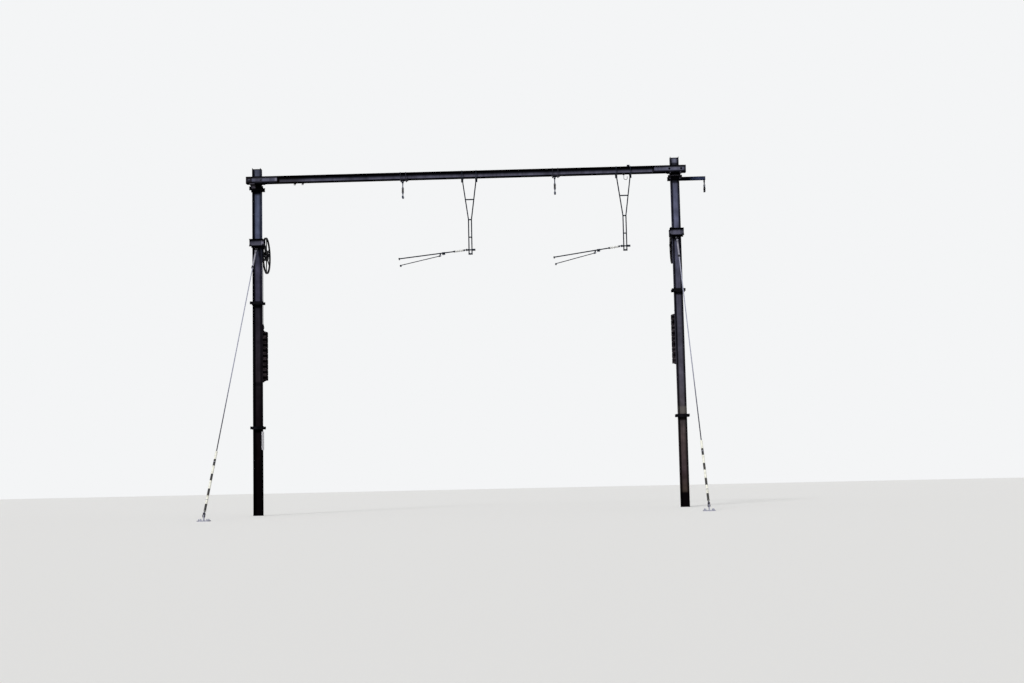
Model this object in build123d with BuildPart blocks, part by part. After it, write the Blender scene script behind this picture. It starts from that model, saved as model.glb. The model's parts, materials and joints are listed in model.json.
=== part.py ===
from build123d import *
import os
from math import atan2, cos, degrees, hypot, radians, sin

# Two-track overhead line portal: two wide-flange masts carry a cross beam from which the
# insulators and registration arms hang. Each mast is stayed by a guy and carries a tension
# wheel with its stack of weights. Millimetres. Origin at the left mast's foot on the ground,
# +X along the beam to the right mast, +Y to the side of the tension wheels, +Z up.

os.makedirs("parts", exist_ok=True)

# General sizes of the portal
mast_spacing = 10450.0
mast_height = 8655.0
beam_below_top = 335.0
beam_overhang = {"left": 225.0, "right": 262.0}
clearance = 0.3
pivot_gap = 0.4
rod_hole_play = 1.0
corner_tolerance = 0.01

# Mast section, a 210 x 220 wide-flange beam with its web facing along the track
mast_depth = 210.0
mast_width = 220.0
mast_web = 7.0
mast_flange = 11.0
mast_root = 18.0

# Cross beam section, a 171 x 180 wide-flange beam with a vertical web
beam_height = 171.0
beam_width = 180.0
beam_web = 6.0
beam_flange = 9.5
beam_root = 15.0
end_plate_length = 780.0
end_plate_thickness = 8.0

# Threaded rods, nuts and flat bars that grip a mast from both sides
beam_rod_radius = 12.0
clamp_rod_radius = 10.0
nut_height = 16.0
nut_radius_ratio = 1.75
rod_tail = 7.0

# Clamp that holds the beam against each mast
beam_clamp_length = 370.0
beam_clamp_height = 100.0
beam_clamp_thickness = 16.0
beam_rod_spacing = 290.0

# Seat bracket under the beam
seat_height = 140.0
seat_width = 280.0
seat_ear_width = 350.0
seat_ear_height = 92.0
seat_plate = 12.0
seat_rod_spacing = 290.0
seat_gusset_inset = 8.0
channel_flange = 45.0
channel_web = 6.0

# Clamp that anchors the guy and the tension wheel
anchor_clamp_height = 180.0
anchor_clamp_centre = 6765.0
anchor_clamp_length = 352.0
anchor_rod_spacing = 314.0
anchor_rod_rise = 50.0
anchor_channel_depth = 70.0
anchor_channel_web = 8.0
anchor_channel_flange = 11.0
anchor_back_plate = 16.0

# Guys
guy_pin_forward = 30.0
guy_pin_drop = 70.0
guy_foot_distance = 5590.0
guy_foot_height = 110.0
guy_pin_radius = 12.0
guy_lug_thickness = 20.0
guy_lug_radius = 30.0
guy_cheek = 12.0
guy_cheek_radius = 28.0
guy_fork_reach = 45.0
guy_crown = 30.0
guy_rod_radius = 12.0
turnbuckle_radius = 19.0
turnbuckle_end = 650.0
coupling_radius = 29.0
coupling_length = 70.0
guard_stripe = 206.0
guard_stripes = 8
guard_foot_gap = 53.0
guard_radius = 25.0
guard_wall = 4.0
guard_collar = 20.0
foot_plate = 240.0
foot_plate_thickness = 20.0
foot_bolt_spacing = 170.0
foot_bolt_hole = 12.0

# Tension wheels
wheel_offset = {"left": 84.0, "right": -65.0}
wheel_centre_height = 6565.0
wheel_centre_back = 725.0
wheel_radius = 465.0
rope_line_radius = 450.0
wheel_rim_width = 40.0
wheel_rim_depth = 40.0
groove_width = 16.0
spoke_count = 6
spoke_width = 50.0
spoke_thickness = 14.0
drum_radius = 115.0
drum_length = 70.0
drum_flange_radius = 130.0
drum_flange = 8.0
axle_radius = 25.0
axle_play = 0.06
bracket_side_gap = 7.0
bracket_cheek = 10.0
bracket_nose_radius = 55.0
bracket_root_plate = 12.0
axle_tail = 10.0

# Weights, their rod and rope
weight_bottom = {"left": 3344.0, "right": 3531.0}
weight_count = 9
weight_height = 135.5
weight_groove = 5.0
weight_groove_depth = 20.0
weight_bevel = 14.0
weight_radius = 117.0
weight_slot = 32.0
weight_slot_turn = 60.0
weight_rod_radius = 15.0
weight_bore_play = 0.5
weight_plate_radius = 62.0
weight_plate = 14.0
weight_nut = 24.0
rope_radius = 6.0
socket_start = 80.0
socket_length = 120.0
socket_radius = 23.0
socket_lip = 2.0

# Guide rod of the weights and the two collars that hold it
collar_height = {"left": {"lower": 2155.0, "upper": 5258.0}, "right": {"lower": 2227.0, "upper": 5322.0}}
collar_length = 340.0
collar_bar_height = 70.0
collar_bar_thickness = 12.0
collar_rod_spacing = 280.0
guide_rod_radius = 10.0
guide_rod_back = 141.0
guide_rod_tail = 45.0
guide_ring_radius = 21.0
guide_ring_play = 2.5
guide_arm_width = 40.0
collar_ear_width = 40.0
collar_ear_height = 40.0

# Hangers
hanger_centre = {"left": 5343.0, "right": 9167.0}
hanger_top_spread = 350.0
hanger_foot_spread = 73.0
hanger_bar = 28.0
hanger_lug_width = 54.0
hanger_lug_height = 92.0
hanger_crossbar_drop = 541.0
hanger_meeting_drop = 1046.0
hanger_tie_drop = 1486.0
hanger_total_drop = 1921.0
hanger_crossbar = 26.0
hanger_foot_width = 104.0
hanger_foot_height = 32.0
hanger_foot_depth = 60.0
strap_width = 16.0
strap_thickness = 8.0
strap_play = 0.5
strap_plate = 12.0
strap_plate_lip = 30.0
strap_nut_radius = 15.0
strap_nut_height = 18.0
saddle_offset = 127.0
saddle_length = 66.0
saddle_depth = 120.0
saddle_height = 44.0

# Registration arms
swivel_drop = 1808.0
swivel_reach = 95.0
swivel_bar = 28.0
swivel_bar_tail = 123.0
swivel_hub_gap = 6.0
swivel_jaw = 44.0
swivel_jaw_length = 95.0
swivel_pin_radius = 8.0
swivel_ear = 10.0
swivel_ear_radius = 18.0
swivel_tongue = 20.0
arm_tilt_degrees = {"left": 6.1, "right": 8.1}
arm_length = 1700.0
arm_radius = 14.0
arm_cap_start = 42.0
arm_cap_length = 33.0
arm_cap_radius = 23.0
arm_insulator_length = 215.0
arm_insulator_core = 17.0
arm_shed_radius = 36.0
arm_shed_count = 5
arm_clamp_start = 538.0
arm_clamp_length = 74.0
arm_clamp_width = 56.0
arm_clamp_sag = 14.0
arm_end_length = 36.0
arm_end_radius = 21.0

# Steady arms
steady_pivot_along = 660.0
steady_pivot_below = 62.0
steady_pin_radius = 8.0
steady_lug = 12.0
steady_lug_radius = 18.0
steady_cheek = 8.0
steady_tilt_degrees = {"left": 12.1, "right": 14.0}
steady_length = 1010.0
steady_radius = 10.0
steady_fork = 26.0
clip_length = 50.0
clip_width = 34.0
clip_height = 44.0
contact_bore = 6.5

# Messenger wire insulators
messenger_x = {"left": 3685.0, "right": 7465.0}
messenger_plate_left = 66.0
messenger_plate_right = 132.0
messenger_strap_left = 50.0
messenger_strap_right = 85.0
messenger_pivot_drop = 44.0
messenger_lug = 12.0
messenger_lug_radius = 24.0
messenger_cheek = 10.0
messenger_pin_radius = 9.0
messenger_fork = 30.0
messenger_neck = 13.0
messenger_body_start = 164.0
messenger_body_length = 122.0
messenger_core = 22.0
messenger_shed_radius = 34.0
messenger_shed_count = 4
messenger_cap_radius = 20.0
messenger_cap_length = 22.0
messenger_link_length = 58.0
messenger_clamp_width = 38.0
messenger_clamp_length = 120.0
messenger_clamp_height = 56.0
messenger_bore = 7.0

# Feeder arm on the right mast and the set that hangs from it
feeder_reach = 775.0
feeder_pivot_reach = 745.0
feeder_pivot_drop = 30.0
feeder_lug = 10.0
feeder_cheek = 8.0
feeder_fork = 26.0
feeder_body_start = 85.0
feeder_body_length = 82.0
feeder_core = 20.0
feeder_shed_radius = 34.0
feeder_shed_count = 2
feeder_clamp_width = 40.0
feeder_clamp_length = 110.0
feeder_clamp_height = 105.0

# Small items
number_plate_width = 250.0
number_plate_height = 450.0
number_plate_thickness = 4.0
number_plate_centre = 1835.0
number_plate_standoff = 10.0
number_plate_strip = 30.0
number_plate_strip_pitch = 300.0
spare_lug_x = (984.0, 1182.0)
spare_lug_size = 45.0
spare_lug_drop = 60.0
spare_lug_hole = 9.0
hook_x = 9180.0
hook_drop = 104.0
hook_radius = 42.0
hook_tip = 40.0
hook_wire = 6.0

# Places worked out from the sizes above
sides = ("left", "right")
inward = {"left": 1, "right": -1}
mast_x = {"left": 0.0, "right": mast_spacing}
beam_centre_height = mast_height - beam_below_top
mast_front = -mast_width / 2
mast_back = mast_width / 2
beam_y = mast_front - beam_width / 2
beam_front = beam_y - beam_width / 2
beam_top = beam_centre_height + beam_height / 2
beam_bottom = beam_centre_height - beam_height / 2
seat_bottom = beam_bottom - seat_height
seat_rod_height = seat_bottom + seat_ear_height / 2
anchor_bottom = anchor_clamp_centre - anchor_clamp_height / 2
anchor_top = anchor_clamp_centre + anchor_clamp_height / 2
guy_top_y = mast_front - guy_pin_forward
guy_top_z = anchor_bottom - guy_pin_drop
guy_run = guy_foot_distance + guy_top_y
guy_rise = guy_top_z - guy_foot_height
guy_length = hypot(guy_run, guy_rise)
rope_y = wheel_centre_back - rope_line_radius
hanger_foot = beam_bottom - hanger_total_drop
swivel_height = beam_bottom - swivel_drop
swivel_y = beam_y - hanger_bar / 2 - swivel_bar / 2
messenger_pivot_height = beam_bottom - messenger_pivot_drop
feeder_y = mast_back + channel_flange / 2
feeder_pivot_height = seat_bottom - feeder_pivot_drop


# Frame with its local z along the world Y axis, for holes, rods and pins across the track
def along_y(x, y, z):
    return Location((x, y, z), (90, 0, 0))


# Frame with its local z along the world X axis
def along_x(x, y, z):
    return Location((x, y, z), (0, 90, 0))


# Outline of a wide-flange beam, its height along the sketch's local y
def draw_wide_flange(sketch, height, width, web, flange, root):
    Rectangle(web, height)
    flange_middle = (height - flange) / 2
    with Locations((0, flange_middle), (0, -flange_middle)):
        Rectangle(width, flange)
    corners = sketch.vertices().filter_by(
        lambda v: abs(abs(v.X) - web / 2) < corner_tolerance
        and abs(abs(v.Y) - height / 2 + flange) < corner_tolerance
    )
    fillet(corners, radius=root)


# Hexagonal nut on a rod that runs along Y, from the face at y_face in the direction given
def add_nut_y(x, y_face, z, rod_radius, direction, height=nut_height):
    middle = y_face + direction * height / 2
    nut_plane = Plane(origin=(x, middle, z), x_dir=(1, 0, 0), z_dir=(0, -1, 0))
    with BuildSketch(nut_plane) as hexagon:
        RegularPolygon(radius=rod_radius * nut_radius_ratio, side_count=6)
    extrude(hexagon.sketch, amount=height / 2, both=True)


# Threaded rod along Y with a nut at each end, seated on the two faces given
def add_rod_with_nuts(x, z, y_front, y_rear, rod_radius):
    tail = nut_height + rod_tail
    with Locations(along_y(x, (y_front + y_rear) / 2, z)):
        Cylinder(rod_radius, y_rear - y_front + 2 * tail)
    add_nut_y(x, y_front, z, rod_radius, -1)
    add_nut_y(x, y_rear, z, rod_radius, 1)


# Hole along Y through everything that stands at that place
def cut_hole_y(x, y, z, radius, length):
    with Locations(along_y(x, y, z)):
        Cylinder(radius, length, mode=Mode.SUBTRACT)


# Masts
def make_mast(side):
    with BuildPart() as mast:
        with BuildSketch(Plane(origin=(mast_x[side], 0, 0), x_dir=(0, 1, 0), z_dir=(0, 0, 1))) as section:
            draw_wide_flange(section, mast_depth, mast_width, mast_web, mast_flange, mast_root)
        extrude(amount=mast_height)
    mast.part.label = f"{side}_mast"
    export_step(mast.part, f"parts/{side}_mast.step")


# Cross beam with the holes for the rods that hold it against the masts
def make_cross_beam():
    hole = beam_rod_radius + rod_hole_play
    with BuildPart() as beam:
        start = Plane(
            origin=(-beam_overhang["left"], beam_y, beam_centre_height), x_dir=(0, 1, 0), z_dir=(1, 0, 0)
        )
        with BuildSketch(start) as section:
            draw_wide_flange(section, beam_height, beam_width, beam_web, beam_flange, beam_root)
        extrude(amount=mast_spacing + beam_overhang["left"] + beam_overhang["right"])
        for side in sides:
            for reach in (-beam_rod_spacing / 2, beam_rod_spacing / 2):
                cut_hole_y(mast_x[side] + reach, beam_y, beam_centre_height, hole, beam_width)
    beam.part.label = "cross_beam"
    export_step(beam.part, "parts/cross_beam.step")


# Plates that close the beam's sides at both ends, flush with its flanges
def make_beam_end_plates():
    hole = beam_rod_radius + rod_hole_play
    plate_height = beam_height - 2 * beam_flange
    offset = (beam_width - end_plate_thickness) / 2
    centres = (
        (end_plate_length / 2 - beam_overhang["left"], -beam_rod_spacing / 2),
        (mast_spacing + beam_overhang["right"] - end_plate_length / 2, mast_spacing - beam_rod_spacing / 2),
    )
    with BuildPart() as plates:
        for centre, first_hole in centres:
            for y in (beam_y - offset, beam_y + offset):
                with Locations((centre, y, beam_centre_height)):
                    Box(end_plate_length, end_plate_thickness, plate_height)
            for x in (first_hole, first_hole + beam_rod_spacing):
                cut_hole_y(x, beam_y, beam_centre_height, hole, beam_width)
    plates.part.label = "beam_end_plates"
    export_step(plates.part, "parts/beam_end_plates.step")


# Bar behind the mast with two long rods that pull the beam against the mast
def make_beam_clamp(side):
    rear = mast_back + beam_clamp_thickness
    with BuildPart() as clamp:
        with Locations((mast_x[side], mast_back + beam_clamp_thickness / 2, beam_centre_height)):
            Box(beam_clamp_length, beam_clamp_thickness, beam_clamp_height)
        for reach in (-beam_rod_spacing / 2, beam_rod_spacing / 2):
            add_rod_with_nuts(mast_x[side] + reach, beam_centre_height, beam_front, rear, beam_rod_radius)
    clamp.part.label = f"{side}_beam_clamp"
    export_step(clamp.part, f"parts/{side}_beam_clamp.step")


# Rolled channel behind the mast, its web against the mast and its flanges pointing back
def add_back_channel(x_start, x_end):
    length = x_end - x_start
    middle = (x_start + x_end) / 2
    with Locations((middle, mast_back + channel_flange / 2, seat_rod_height)):
        Box(length, channel_flange, seat_ear_height)
    pocket_depth = channel_flange - channel_web
    with Locations((middle, mast_back + channel_web + pocket_depth / 2, seat_rod_height)):
        Box(length, pocket_depth, seat_ear_height - 2 * channel_web, mode=Mode.SUBTRACT)


# Seat bracket: a back plate with wide ears, a shelf under the beam and three gussets
def make_beam_seat(side):
    x = mast_x[side]
    plate_front = mast_front - seat_plate
    with BuildPart() as seat:
        if side == "left":
            add_back_channel(x - seat_ear_width / 2, x + seat_ear_width / 2)
        with Locations((x, mast_front - seat_plate / 2, (seat_bottom + beam_bottom) / 2)):
            Box(seat_width, seat_plate, seat_height)
        with Locations((x, mast_front - seat_plate / 2, seat_rod_height)):
            Box(seat_ear_width, seat_plate, seat_ear_height)
        with Locations((x, (plate_front + beam_front) / 2, beam_bottom - seat_plate / 2)):
            Box(seat_width, plate_front - beam_front, seat_plate)
        rib_height = seat_bottom + seat_ear_height - seat_plate / 2
        with Locations((x, plate_front - seat_plate, rib_height)):
            Box(seat_ear_width, 2 * seat_plate, seat_plate)
        for step in (-1, 0, 1):
            gusset_x = x + step * (seat_width / 2 - seat_gusset_inset - seat_plate / 2)
            gusset_plane = Plane(origin=(gusset_x, 0, 0), x_dir=(0, 1, 0), z_dir=(1, 0, 0))
            with BuildSketch(gusset_plane) as gusset:
                with BuildLine():
                    Polyline(
                        (plate_front, beam_bottom - seat_plate),
                        (beam_front, beam_bottom - seat_plate),
                        (beam_front, beam_bottom - 2 * seat_plate),
                        (plate_front - 2 * seat_plate, rib_height),
                        (plate_front, rib_height),
                        close=True,
                    )
                make_face()
            extrude(gusset.sketch, amount=seat_plate / 2, both=True)
        for reach in (-seat_rod_spacing / 2, seat_rod_spacing / 2):
            add_rod_with_nuts(x + reach, seat_rod_height, plate_front, mast_back + channel_web, clamp_rod_radius)
    seat.part.label = f"{side}_beam_seat"
    export_step(seat.part, f"parts/{side}_beam_seat.step")


# Clamp around the mast that the guy pulls at in front and the tension wheel hangs on behind
def make_anchor_clamp(side):
    x = mast_x[side]
    web_front = mast_front - anchor_channel_web
    channel_front = mast_front - anchor_channel_depth
    rear = mast_back + anchor_back_plate
    with BuildPart() as clamp:
        with Locations((x, (mast_front + channel_front) / 2, anchor_clamp_centre)):
            Box(anchor_clamp_length, anchor_channel_depth, anchor_clamp_height)
        with Locations((x, (web_front + channel_front) / 2, anchor_clamp_centre)):
            Box(
                anchor_clamp_length,
                anchor_channel_depth - anchor_channel_web,
                anchor_clamp_height - 2 * anchor_channel_flange,
                mode=Mode.SUBTRACT,
            )
        with Locations((x, mast_back + anchor_back_plate / 2, anchor_clamp_centre)):
            Box(anchor_clamp_length, anchor_back_plate, anchor_clamp_height)
        for reach in (-anchor_rod_spacing / 2, anchor_rod_spacing / 2):
            for rise in (-anchor_rod_rise, anchor_rod_rise):
                add_rod_with_nuts(x + reach, anchor_clamp_centre + rise, web_front, rear, clamp_rod_radius)
        lug_plane = Plane(origin=(x, guy_top_y, guy_top_z), x_dir=(0, 1, 0), z_dir=(1, 0, 0))
        with BuildSketch(lug_plane) as lug:
            Circle(guy_lug_radius)
            with Locations((0, guy_pin_drop / 2)):
                Rectangle(2 * guy_lug_radius - 2 * clearance, guy_pin_drop + 2 * clearance)
            Circle(guy_pin_radius + clearance, mode=Mode.SUBTRACT)
        extrude(lug.sketch, amount=guy_lug_thickness / 2, both=True)
    clamp.part.label = f"{side}_anchor_clamp"
    export_step(clamp.part, f"parts/{side}_anchor_clamp.step")


# Plane of a guy: origin on its upper pin, local z down along the guy, local x along the pin
def guy_plane(side):
    return Plane(
        origin=(mast_x[side], guy_top_y, guy_top_z),
        x_dir=(1, 0, 0),
        z_dir=(0, -guy_run / guy_length, -guy_rise / guy_length),
    )


# Fork with its pin at one end of a guy, the crown towards the guy's middle
def add_guy_fork(distance, direction):
    cheek_centre = guy_lug_thickness / 2 + clearance + guy_cheek / 2
    half_outer = guy_lug_thickness / 2 + clearance + guy_cheek
    for offset in (-cheek_centre, cheek_centre):
        with Locations(Location((offset, 0, distance), (0, 90, 0))):
            Cylinder(guy_cheek_radius, guy_cheek)
        with Locations((offset, 0, distance + direction * guy_fork_reach / 2)):
            Box(guy_cheek, 2 * guy_cheek_radius, guy_fork_reach)
    with Locations((0, 0, distance + direction * (guy_fork_reach + guy_crown / 2))):
        Box(2 * half_outer, 2 * guy_cheek_radius, guy_crown)
    with Locations(Location((0, 0, distance), (0, 90, 0))):
        Cylinder(guy_pin_radius, 2 * half_outer + 2 * rod_tail)


# Guy: upper fork, turnbuckle, coupling, long rod and lower fork
def make_guy(side):
    crown_end = guy_fork_reach + guy_crown
    coupling_end = turnbuckle_end + coupling_length
    from_start = (Align.CENTER, Align.CENTER, Align.MIN)
    with BuildPart(guy_plane(side)) as guy:
        add_guy_fork(0, 1)
        with Locations((0, 0, crown_end)):
            Cylinder(turnbuckle_radius, turnbuckle_end - crown_end, align=from_start)
        with Locations((0, 0, turnbuckle_end)):
            Cylinder(coupling_radius, coupling_length, align=from_start)
        with Locations((0, 0, coupling_end)):
            Cylinder(guy_rod_radius, guy_length - crown_end - coupling_end, align=from_start)
        add_guy_fork(guy_length, -1)
    guy.part.label = f"{side}_guy"
    export_step(guy.part, f"parts/{side}_guy.step")


# Striped guards, each a tube round the lower end of a guy with a close collar at both ends
def make_guy_guards():
    length = guard_stripe * guard_stripes
    top = guy_length - guy_fork_reach - guy_crown - guard_foot_gap - length
    from_start = (Align.CENTER, Align.CENTER, Align.MIN)
    with BuildPart() as guards:
        for side in sides:
            with Locations(guy_plane(side)):
                with Locations((0, 0, top)):
                    Cylinder(guard_radius, length, align=from_start)
                    Cylinder(guy_rod_radius + clearance, length, align=from_start, mode=Mode.SUBTRACT)
                with Locations((0, 0, top + guard_collar)):
                    hollow_length = length - 2 * guard_collar
                    Cylinder(guard_radius - guard_wall, hollow_length, align=from_start, mode=Mode.SUBTRACT)
    guards.part.label = "guy_guards"
    export_step(guards.part, "parts/guy_guards.step")


# Feet of the guys, each a bolted plate with an upright lug
def make_guy_anchors():
    lug_drop = guy_foot_height - foot_plate_thickness
    with BuildPart() as anchors:
        for x in mast_x.values():
            with Locations((x, -guy_foot_distance, foot_plate_thickness / 2)):
                Box(foot_plate, foot_plate, foot_plate_thickness)
            with Locations((x, -guy_foot_distance, foot_plate_thickness)):
                with GridLocations(foot_bolt_spacing, foot_bolt_spacing, 2, 2):
                    Hole(foot_bolt_hole, depth=foot_plate_thickness)
            lug_plane = Plane(
                origin=(x, -guy_foot_distance, guy_foot_height), x_dir=(0, 1, 0), z_dir=(1, 0, 0)
            )
            with BuildSketch(lug_plane) as lug:
                Circle(guy_lug_radius)
                with Locations((0, -lug_drop / 2)):
                    Rectangle(2 * guy_lug_radius, lug_drop)
                Circle(guy_pin_radius + clearance, mode=Mode.SUBTRACT)
            extrude(lug.sketch, amount=guy_lug_thickness / 2, both=True)
    anchors.part.label = "guy_anchors"
    export_step(anchors.part, "parts/guy_anchors.step")


# Half the outside width of the wheel bracket, from the wheel's middle plane
def bracket_half():
    return drum_length / 2 + bracket_side_gap + bracket_cheek


# Bracket on the anchor clamp: two cheeks that reach past the wheel's hub and carry its axle
def make_wheel_bracket(side):
    x = mast_x[side] + wheel_offset[side]
    root = mast_back + anchor_back_plate
    root_end = root + bracket_root_plate
    with BuildPart() as bracket:
        with Locations((x, (root + root_end) / 2, anchor_clamp_centre)):
            Box(2 * bracket_half(), bracket_root_plate, anchor_clamp_height)
        for hand in (-1, 1):
            cheek_x = x + hand * (bracket_half() - bracket_cheek / 2)
            cheek_plane = Plane(origin=(cheek_x, 0, 0), x_dir=(0, 1, 0), z_dir=(1, 0, 0))
            with BuildSketch(cheek_plane) as cheek:
                with BuildLine():
                    Polyline(
                        (root_end, anchor_top),
                        (root_end, anchor_bottom),
                        (wheel_centre_back, wheel_centre_height - bracket_nose_radius),
                        (wheel_centre_back, wheel_centre_height + bracket_nose_radius),
                        close=True,
                    )
                make_face()
                with Locations((wheel_centre_back, wheel_centre_height)):
                    Circle(bracket_nose_radius)
            extrude(cheek.sketch, amount=bracket_cheek / 2, both=True)
        with Locations(along_x(x, wheel_centre_back, wheel_centre_height)):
            Cylinder(axle_radius, 2 * (bracket_half() + axle_tail))
    bracket.part.label = f"{side}_wheel_bracket"
    export_step(bracket.part, f"parts/{side}_wheel_bracket.step")


# Tension wheel: grooved rim, spokes and the double drum at its hub
def make_tension_wheel(side):
    centre = (mast_x[side] + wheel_offset[side], wheel_centre_back, wheel_centre_height)
    groove_floor = rope_line_radius - rope_radius - clearance
    rim_inner = wheel_radius - wheel_rim_depth
    with BuildPart(Plane(origin=centre, x_dir=(0, 1, 0), z_dir=(1, 0, 0))) as wheel:
        Cylinder(wheel_radius, wheel_rim_width)
        Cylinder(rim_inner, wheel_rim_width, mode=Mode.SUBTRACT)
        with BuildPart(mode=Mode.PRIVATE) as groove:
            Cylinder(wheel_radius, groove_width)
            Cylinder(groove_floor, groove_width, mode=Mode.SUBTRACT)
        add(groove.part, mode=Mode.SUBTRACT)
        with PolarLocations(0, spoke_count, start_angle=90):
            with Locations((rim_inner / 2, 0, 0)):
                Box(rim_inner + wheel_rim_depth / 4, spoke_width, spoke_thickness)
        Cylinder(drum_radius, drum_length)
        end_offset = (drum_length - drum_flange) / 2
        with Locations((0, 0, -end_offset), (0, 0, end_offset)):
            Cylinder(drum_flange_radius, drum_flange)
        Cylinder(axle_radius + axle_play, drum_length, mode=Mode.SUBTRACT)
    wheel.part.label = f"{side}_tension_wheel"
    export_step(wheel.part, f"parts/{side}_tension_wheel.step")


# Stack of cast weights: bevelled discs with a bore for the rod and slots that face both ways in turn
def make_weight_stack(side):
    centre = (mast_x[side] + wheel_offset[side], rope_y, weight_bottom[side])
    stack_height = weight_count * weight_height
    from_start = (Align.CENTER, Align.CENTER, Align.MIN)
    with BuildPart(Plane(origin=centre, x_dir=(1, 0, 0), z_dir=(0, 0, 1))) as stack:
        Cylinder(weight_radius - weight_groove_depth, stack_height, align=from_start)
        bevel_start = weight_height - weight_groove - weight_bevel
        for number in range(weight_count):
            level = number * weight_height + weight_groove / 2
            with Locations((0, 0, level)):
                Cylinder(weight_radius, bevel_start, align=from_start)
            with Locations((0, 0, level + bevel_start)):
                Cone(weight_radius, weight_radius - weight_bevel, weight_bevel, align=from_start)
            with Locations(Location((0, 0, level), (0, 0, weight_slot_turn + 180 * (number % 2)))):
                slot_align = (Align.MIN, Align.CENTER, Align.MIN)
                slot_height = weight_height - weight_groove
                Box(weight_radius, weight_slot, slot_height, align=slot_align, mode=Mode.SUBTRACT)
        Cylinder(weight_rod_radius + weight_bore_play, stack_height, align=from_start, mode=Mode.SUBTRACT)
    stack.part.label = f"{side}_weight_stack"
    export_step(stack.part, f"parts/{side}_weight_stack.step")


# Rod through the weights: plates with guide rings above and below, and the rope socket
def make_weight_rod(side):
    x = mast_x[side] + wheel_offset[side]
    stack_height = weight_count * weight_height
    bottom = weight_bottom[side]
    arm_reach = rope_y - guide_rod_back
    from_start = (Align.CENTER, Align.CENTER, Align.MIN)
    with BuildPart(Plane(origin=(x, rope_y, bottom), x_dir=(1, 0, 0), z_dir=(0, 0, 1))) as rod:
        lowest = -weight_plate - weight_nut - rod_tail
        with Locations((0, 0, lowest)):
            Cylinder(weight_rod_radius, stack_height + socket_start - lowest, align=from_start)
        for level in (-weight_plate, stack_height):
            with Locations((0, 0, level)):
                Cylinder(weight_plate_radius, weight_plate, align=from_start)
            with Locations((0, -arm_reach / 2, level + weight_plate / 2)):
                Box(guide_arm_width, arm_reach, weight_plate)
            with Locations((0, -arm_reach, level)):
                Cylinder(guide_ring_radius, weight_plate, align=from_start)
                Cylinder(
                    guide_rod_radius + guide_ring_play, weight_plate, align=from_start, mode=Mode.SUBTRACT
                )
        for level in (-weight_plate - weight_nut, stack_height + weight_plate):
            nut_plane = Plane(origin=(x, rope_y, bottom + level), x_dir=(1, 0, 0), z_dir=(0, 0, 1))
            with BuildSketch(nut_plane) as hexagon:
                RegularPolygon(radius=weight_rod_radius * nut_radius_ratio, side_count=6)
            extrude(hexagon.sketch, amount=weight_nut)
        with Locations((0, 0, stack_height + socket_start)):
            Cylinder(socket_radius, socket_length / 2, align=from_start)
        with Locations((0, 0, stack_height + socket_start + socket_length / 2)):
            Cone(socket_radius, rope_radius + socket_lip, socket_length / 2, align=from_start)
    rod.part.label = f"{side}_weight_rod"
    export_step(rod.part, f"parts/{side}_weight_rod.step")


# Rope from the socket to the point where it meets the wheel's rim
def make_weight_rope(side):
    x = mast_x[side] + wheel_offset[side]
    lower_end = weight_bottom[side] + weight_count * weight_height + socket_start + socket_length
    with BuildPart(Plane(origin=(x, rope_y, lower_end), x_dir=(1, 0, 0), z_dir=(0, 0, 1))) as rope:
        length = wheel_centre_height - lower_end
        Cylinder(rope_radius, length, align=(Align.CENTER, Align.CENTER, Align.MIN))
    rope.part.label = f"{side}_weight_rope"
    export_step(rope.part, f"parts/{side}_weight_rope.step")


# Two collars round the mast, each with an ear that holds the guide rod
def make_guide_collars(side):
    x = mast_x[side]
    guide_x = x + wheel_offset[side]
    ear_end = guide_rod_back + guide_rod_radius + collar_bar_thickness / 2
    with BuildPart() as collars:
        for z in collar_height[side].values():
            for y in (mast_front - collar_bar_thickness / 2, mast_back + collar_bar_thickness / 2):
                with Locations((x, y, z)):
                    Box(collar_length, collar_bar_thickness, collar_bar_height)
            for reach in (-collar_rod_spacing / 2, collar_rod_spacing / 2):
                add_rod_with_nuts(
                    x + reach,
                    z,
                    mast_front - collar_bar_thickness,
                    mast_back + collar_bar_thickness,
                    clamp_rod_radius,
                )
            with Locations((guide_x, (mast_back + ear_end) / 2, z)):
                Box(collar_ear_width, ear_end - mast_back, collar_ear_height)
            with Locations((guide_x, guide_rod_back, z)):
                Cylinder(guide_rod_radius + clearance, collar_bar_height, mode=Mode.SUBTRACT)
    collars.part.label = f"{side}_guide_collars"
    export_step(collars.part, f"parts/{side}_guide_collars.step")


# Guide rods of the weights, each held by the two collars of its mast
def make_guide_rods():
    from_start = (Align.CENTER, Align.CENTER, Align.MIN)
    with BuildPart() as rods:
        for side in sides:
            x = mast_x[side] + wheel_offset[side]
            lower = collar_height[side]["lower"] - collar_ear_height / 2
            upper = collar_height[side]["upper"] + collar_ear_height / 2
            with Locations((x, guide_rod_back, lower - guide_rod_tail)):
                Cylinder(guide_rod_radius, upper - lower + 2 * guide_rod_tail, align=from_start)
            with Locations((x, guide_rod_back, lower - nut_height), (x, guide_rod_back, upper)):
                Cylinder(guide_rod_radius * nut_radius_ratio, nut_height, align=from_start)
    rods.part.label = "guide_rods"
    export_step(rods.part, "parts/guide_rods.step")


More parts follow.
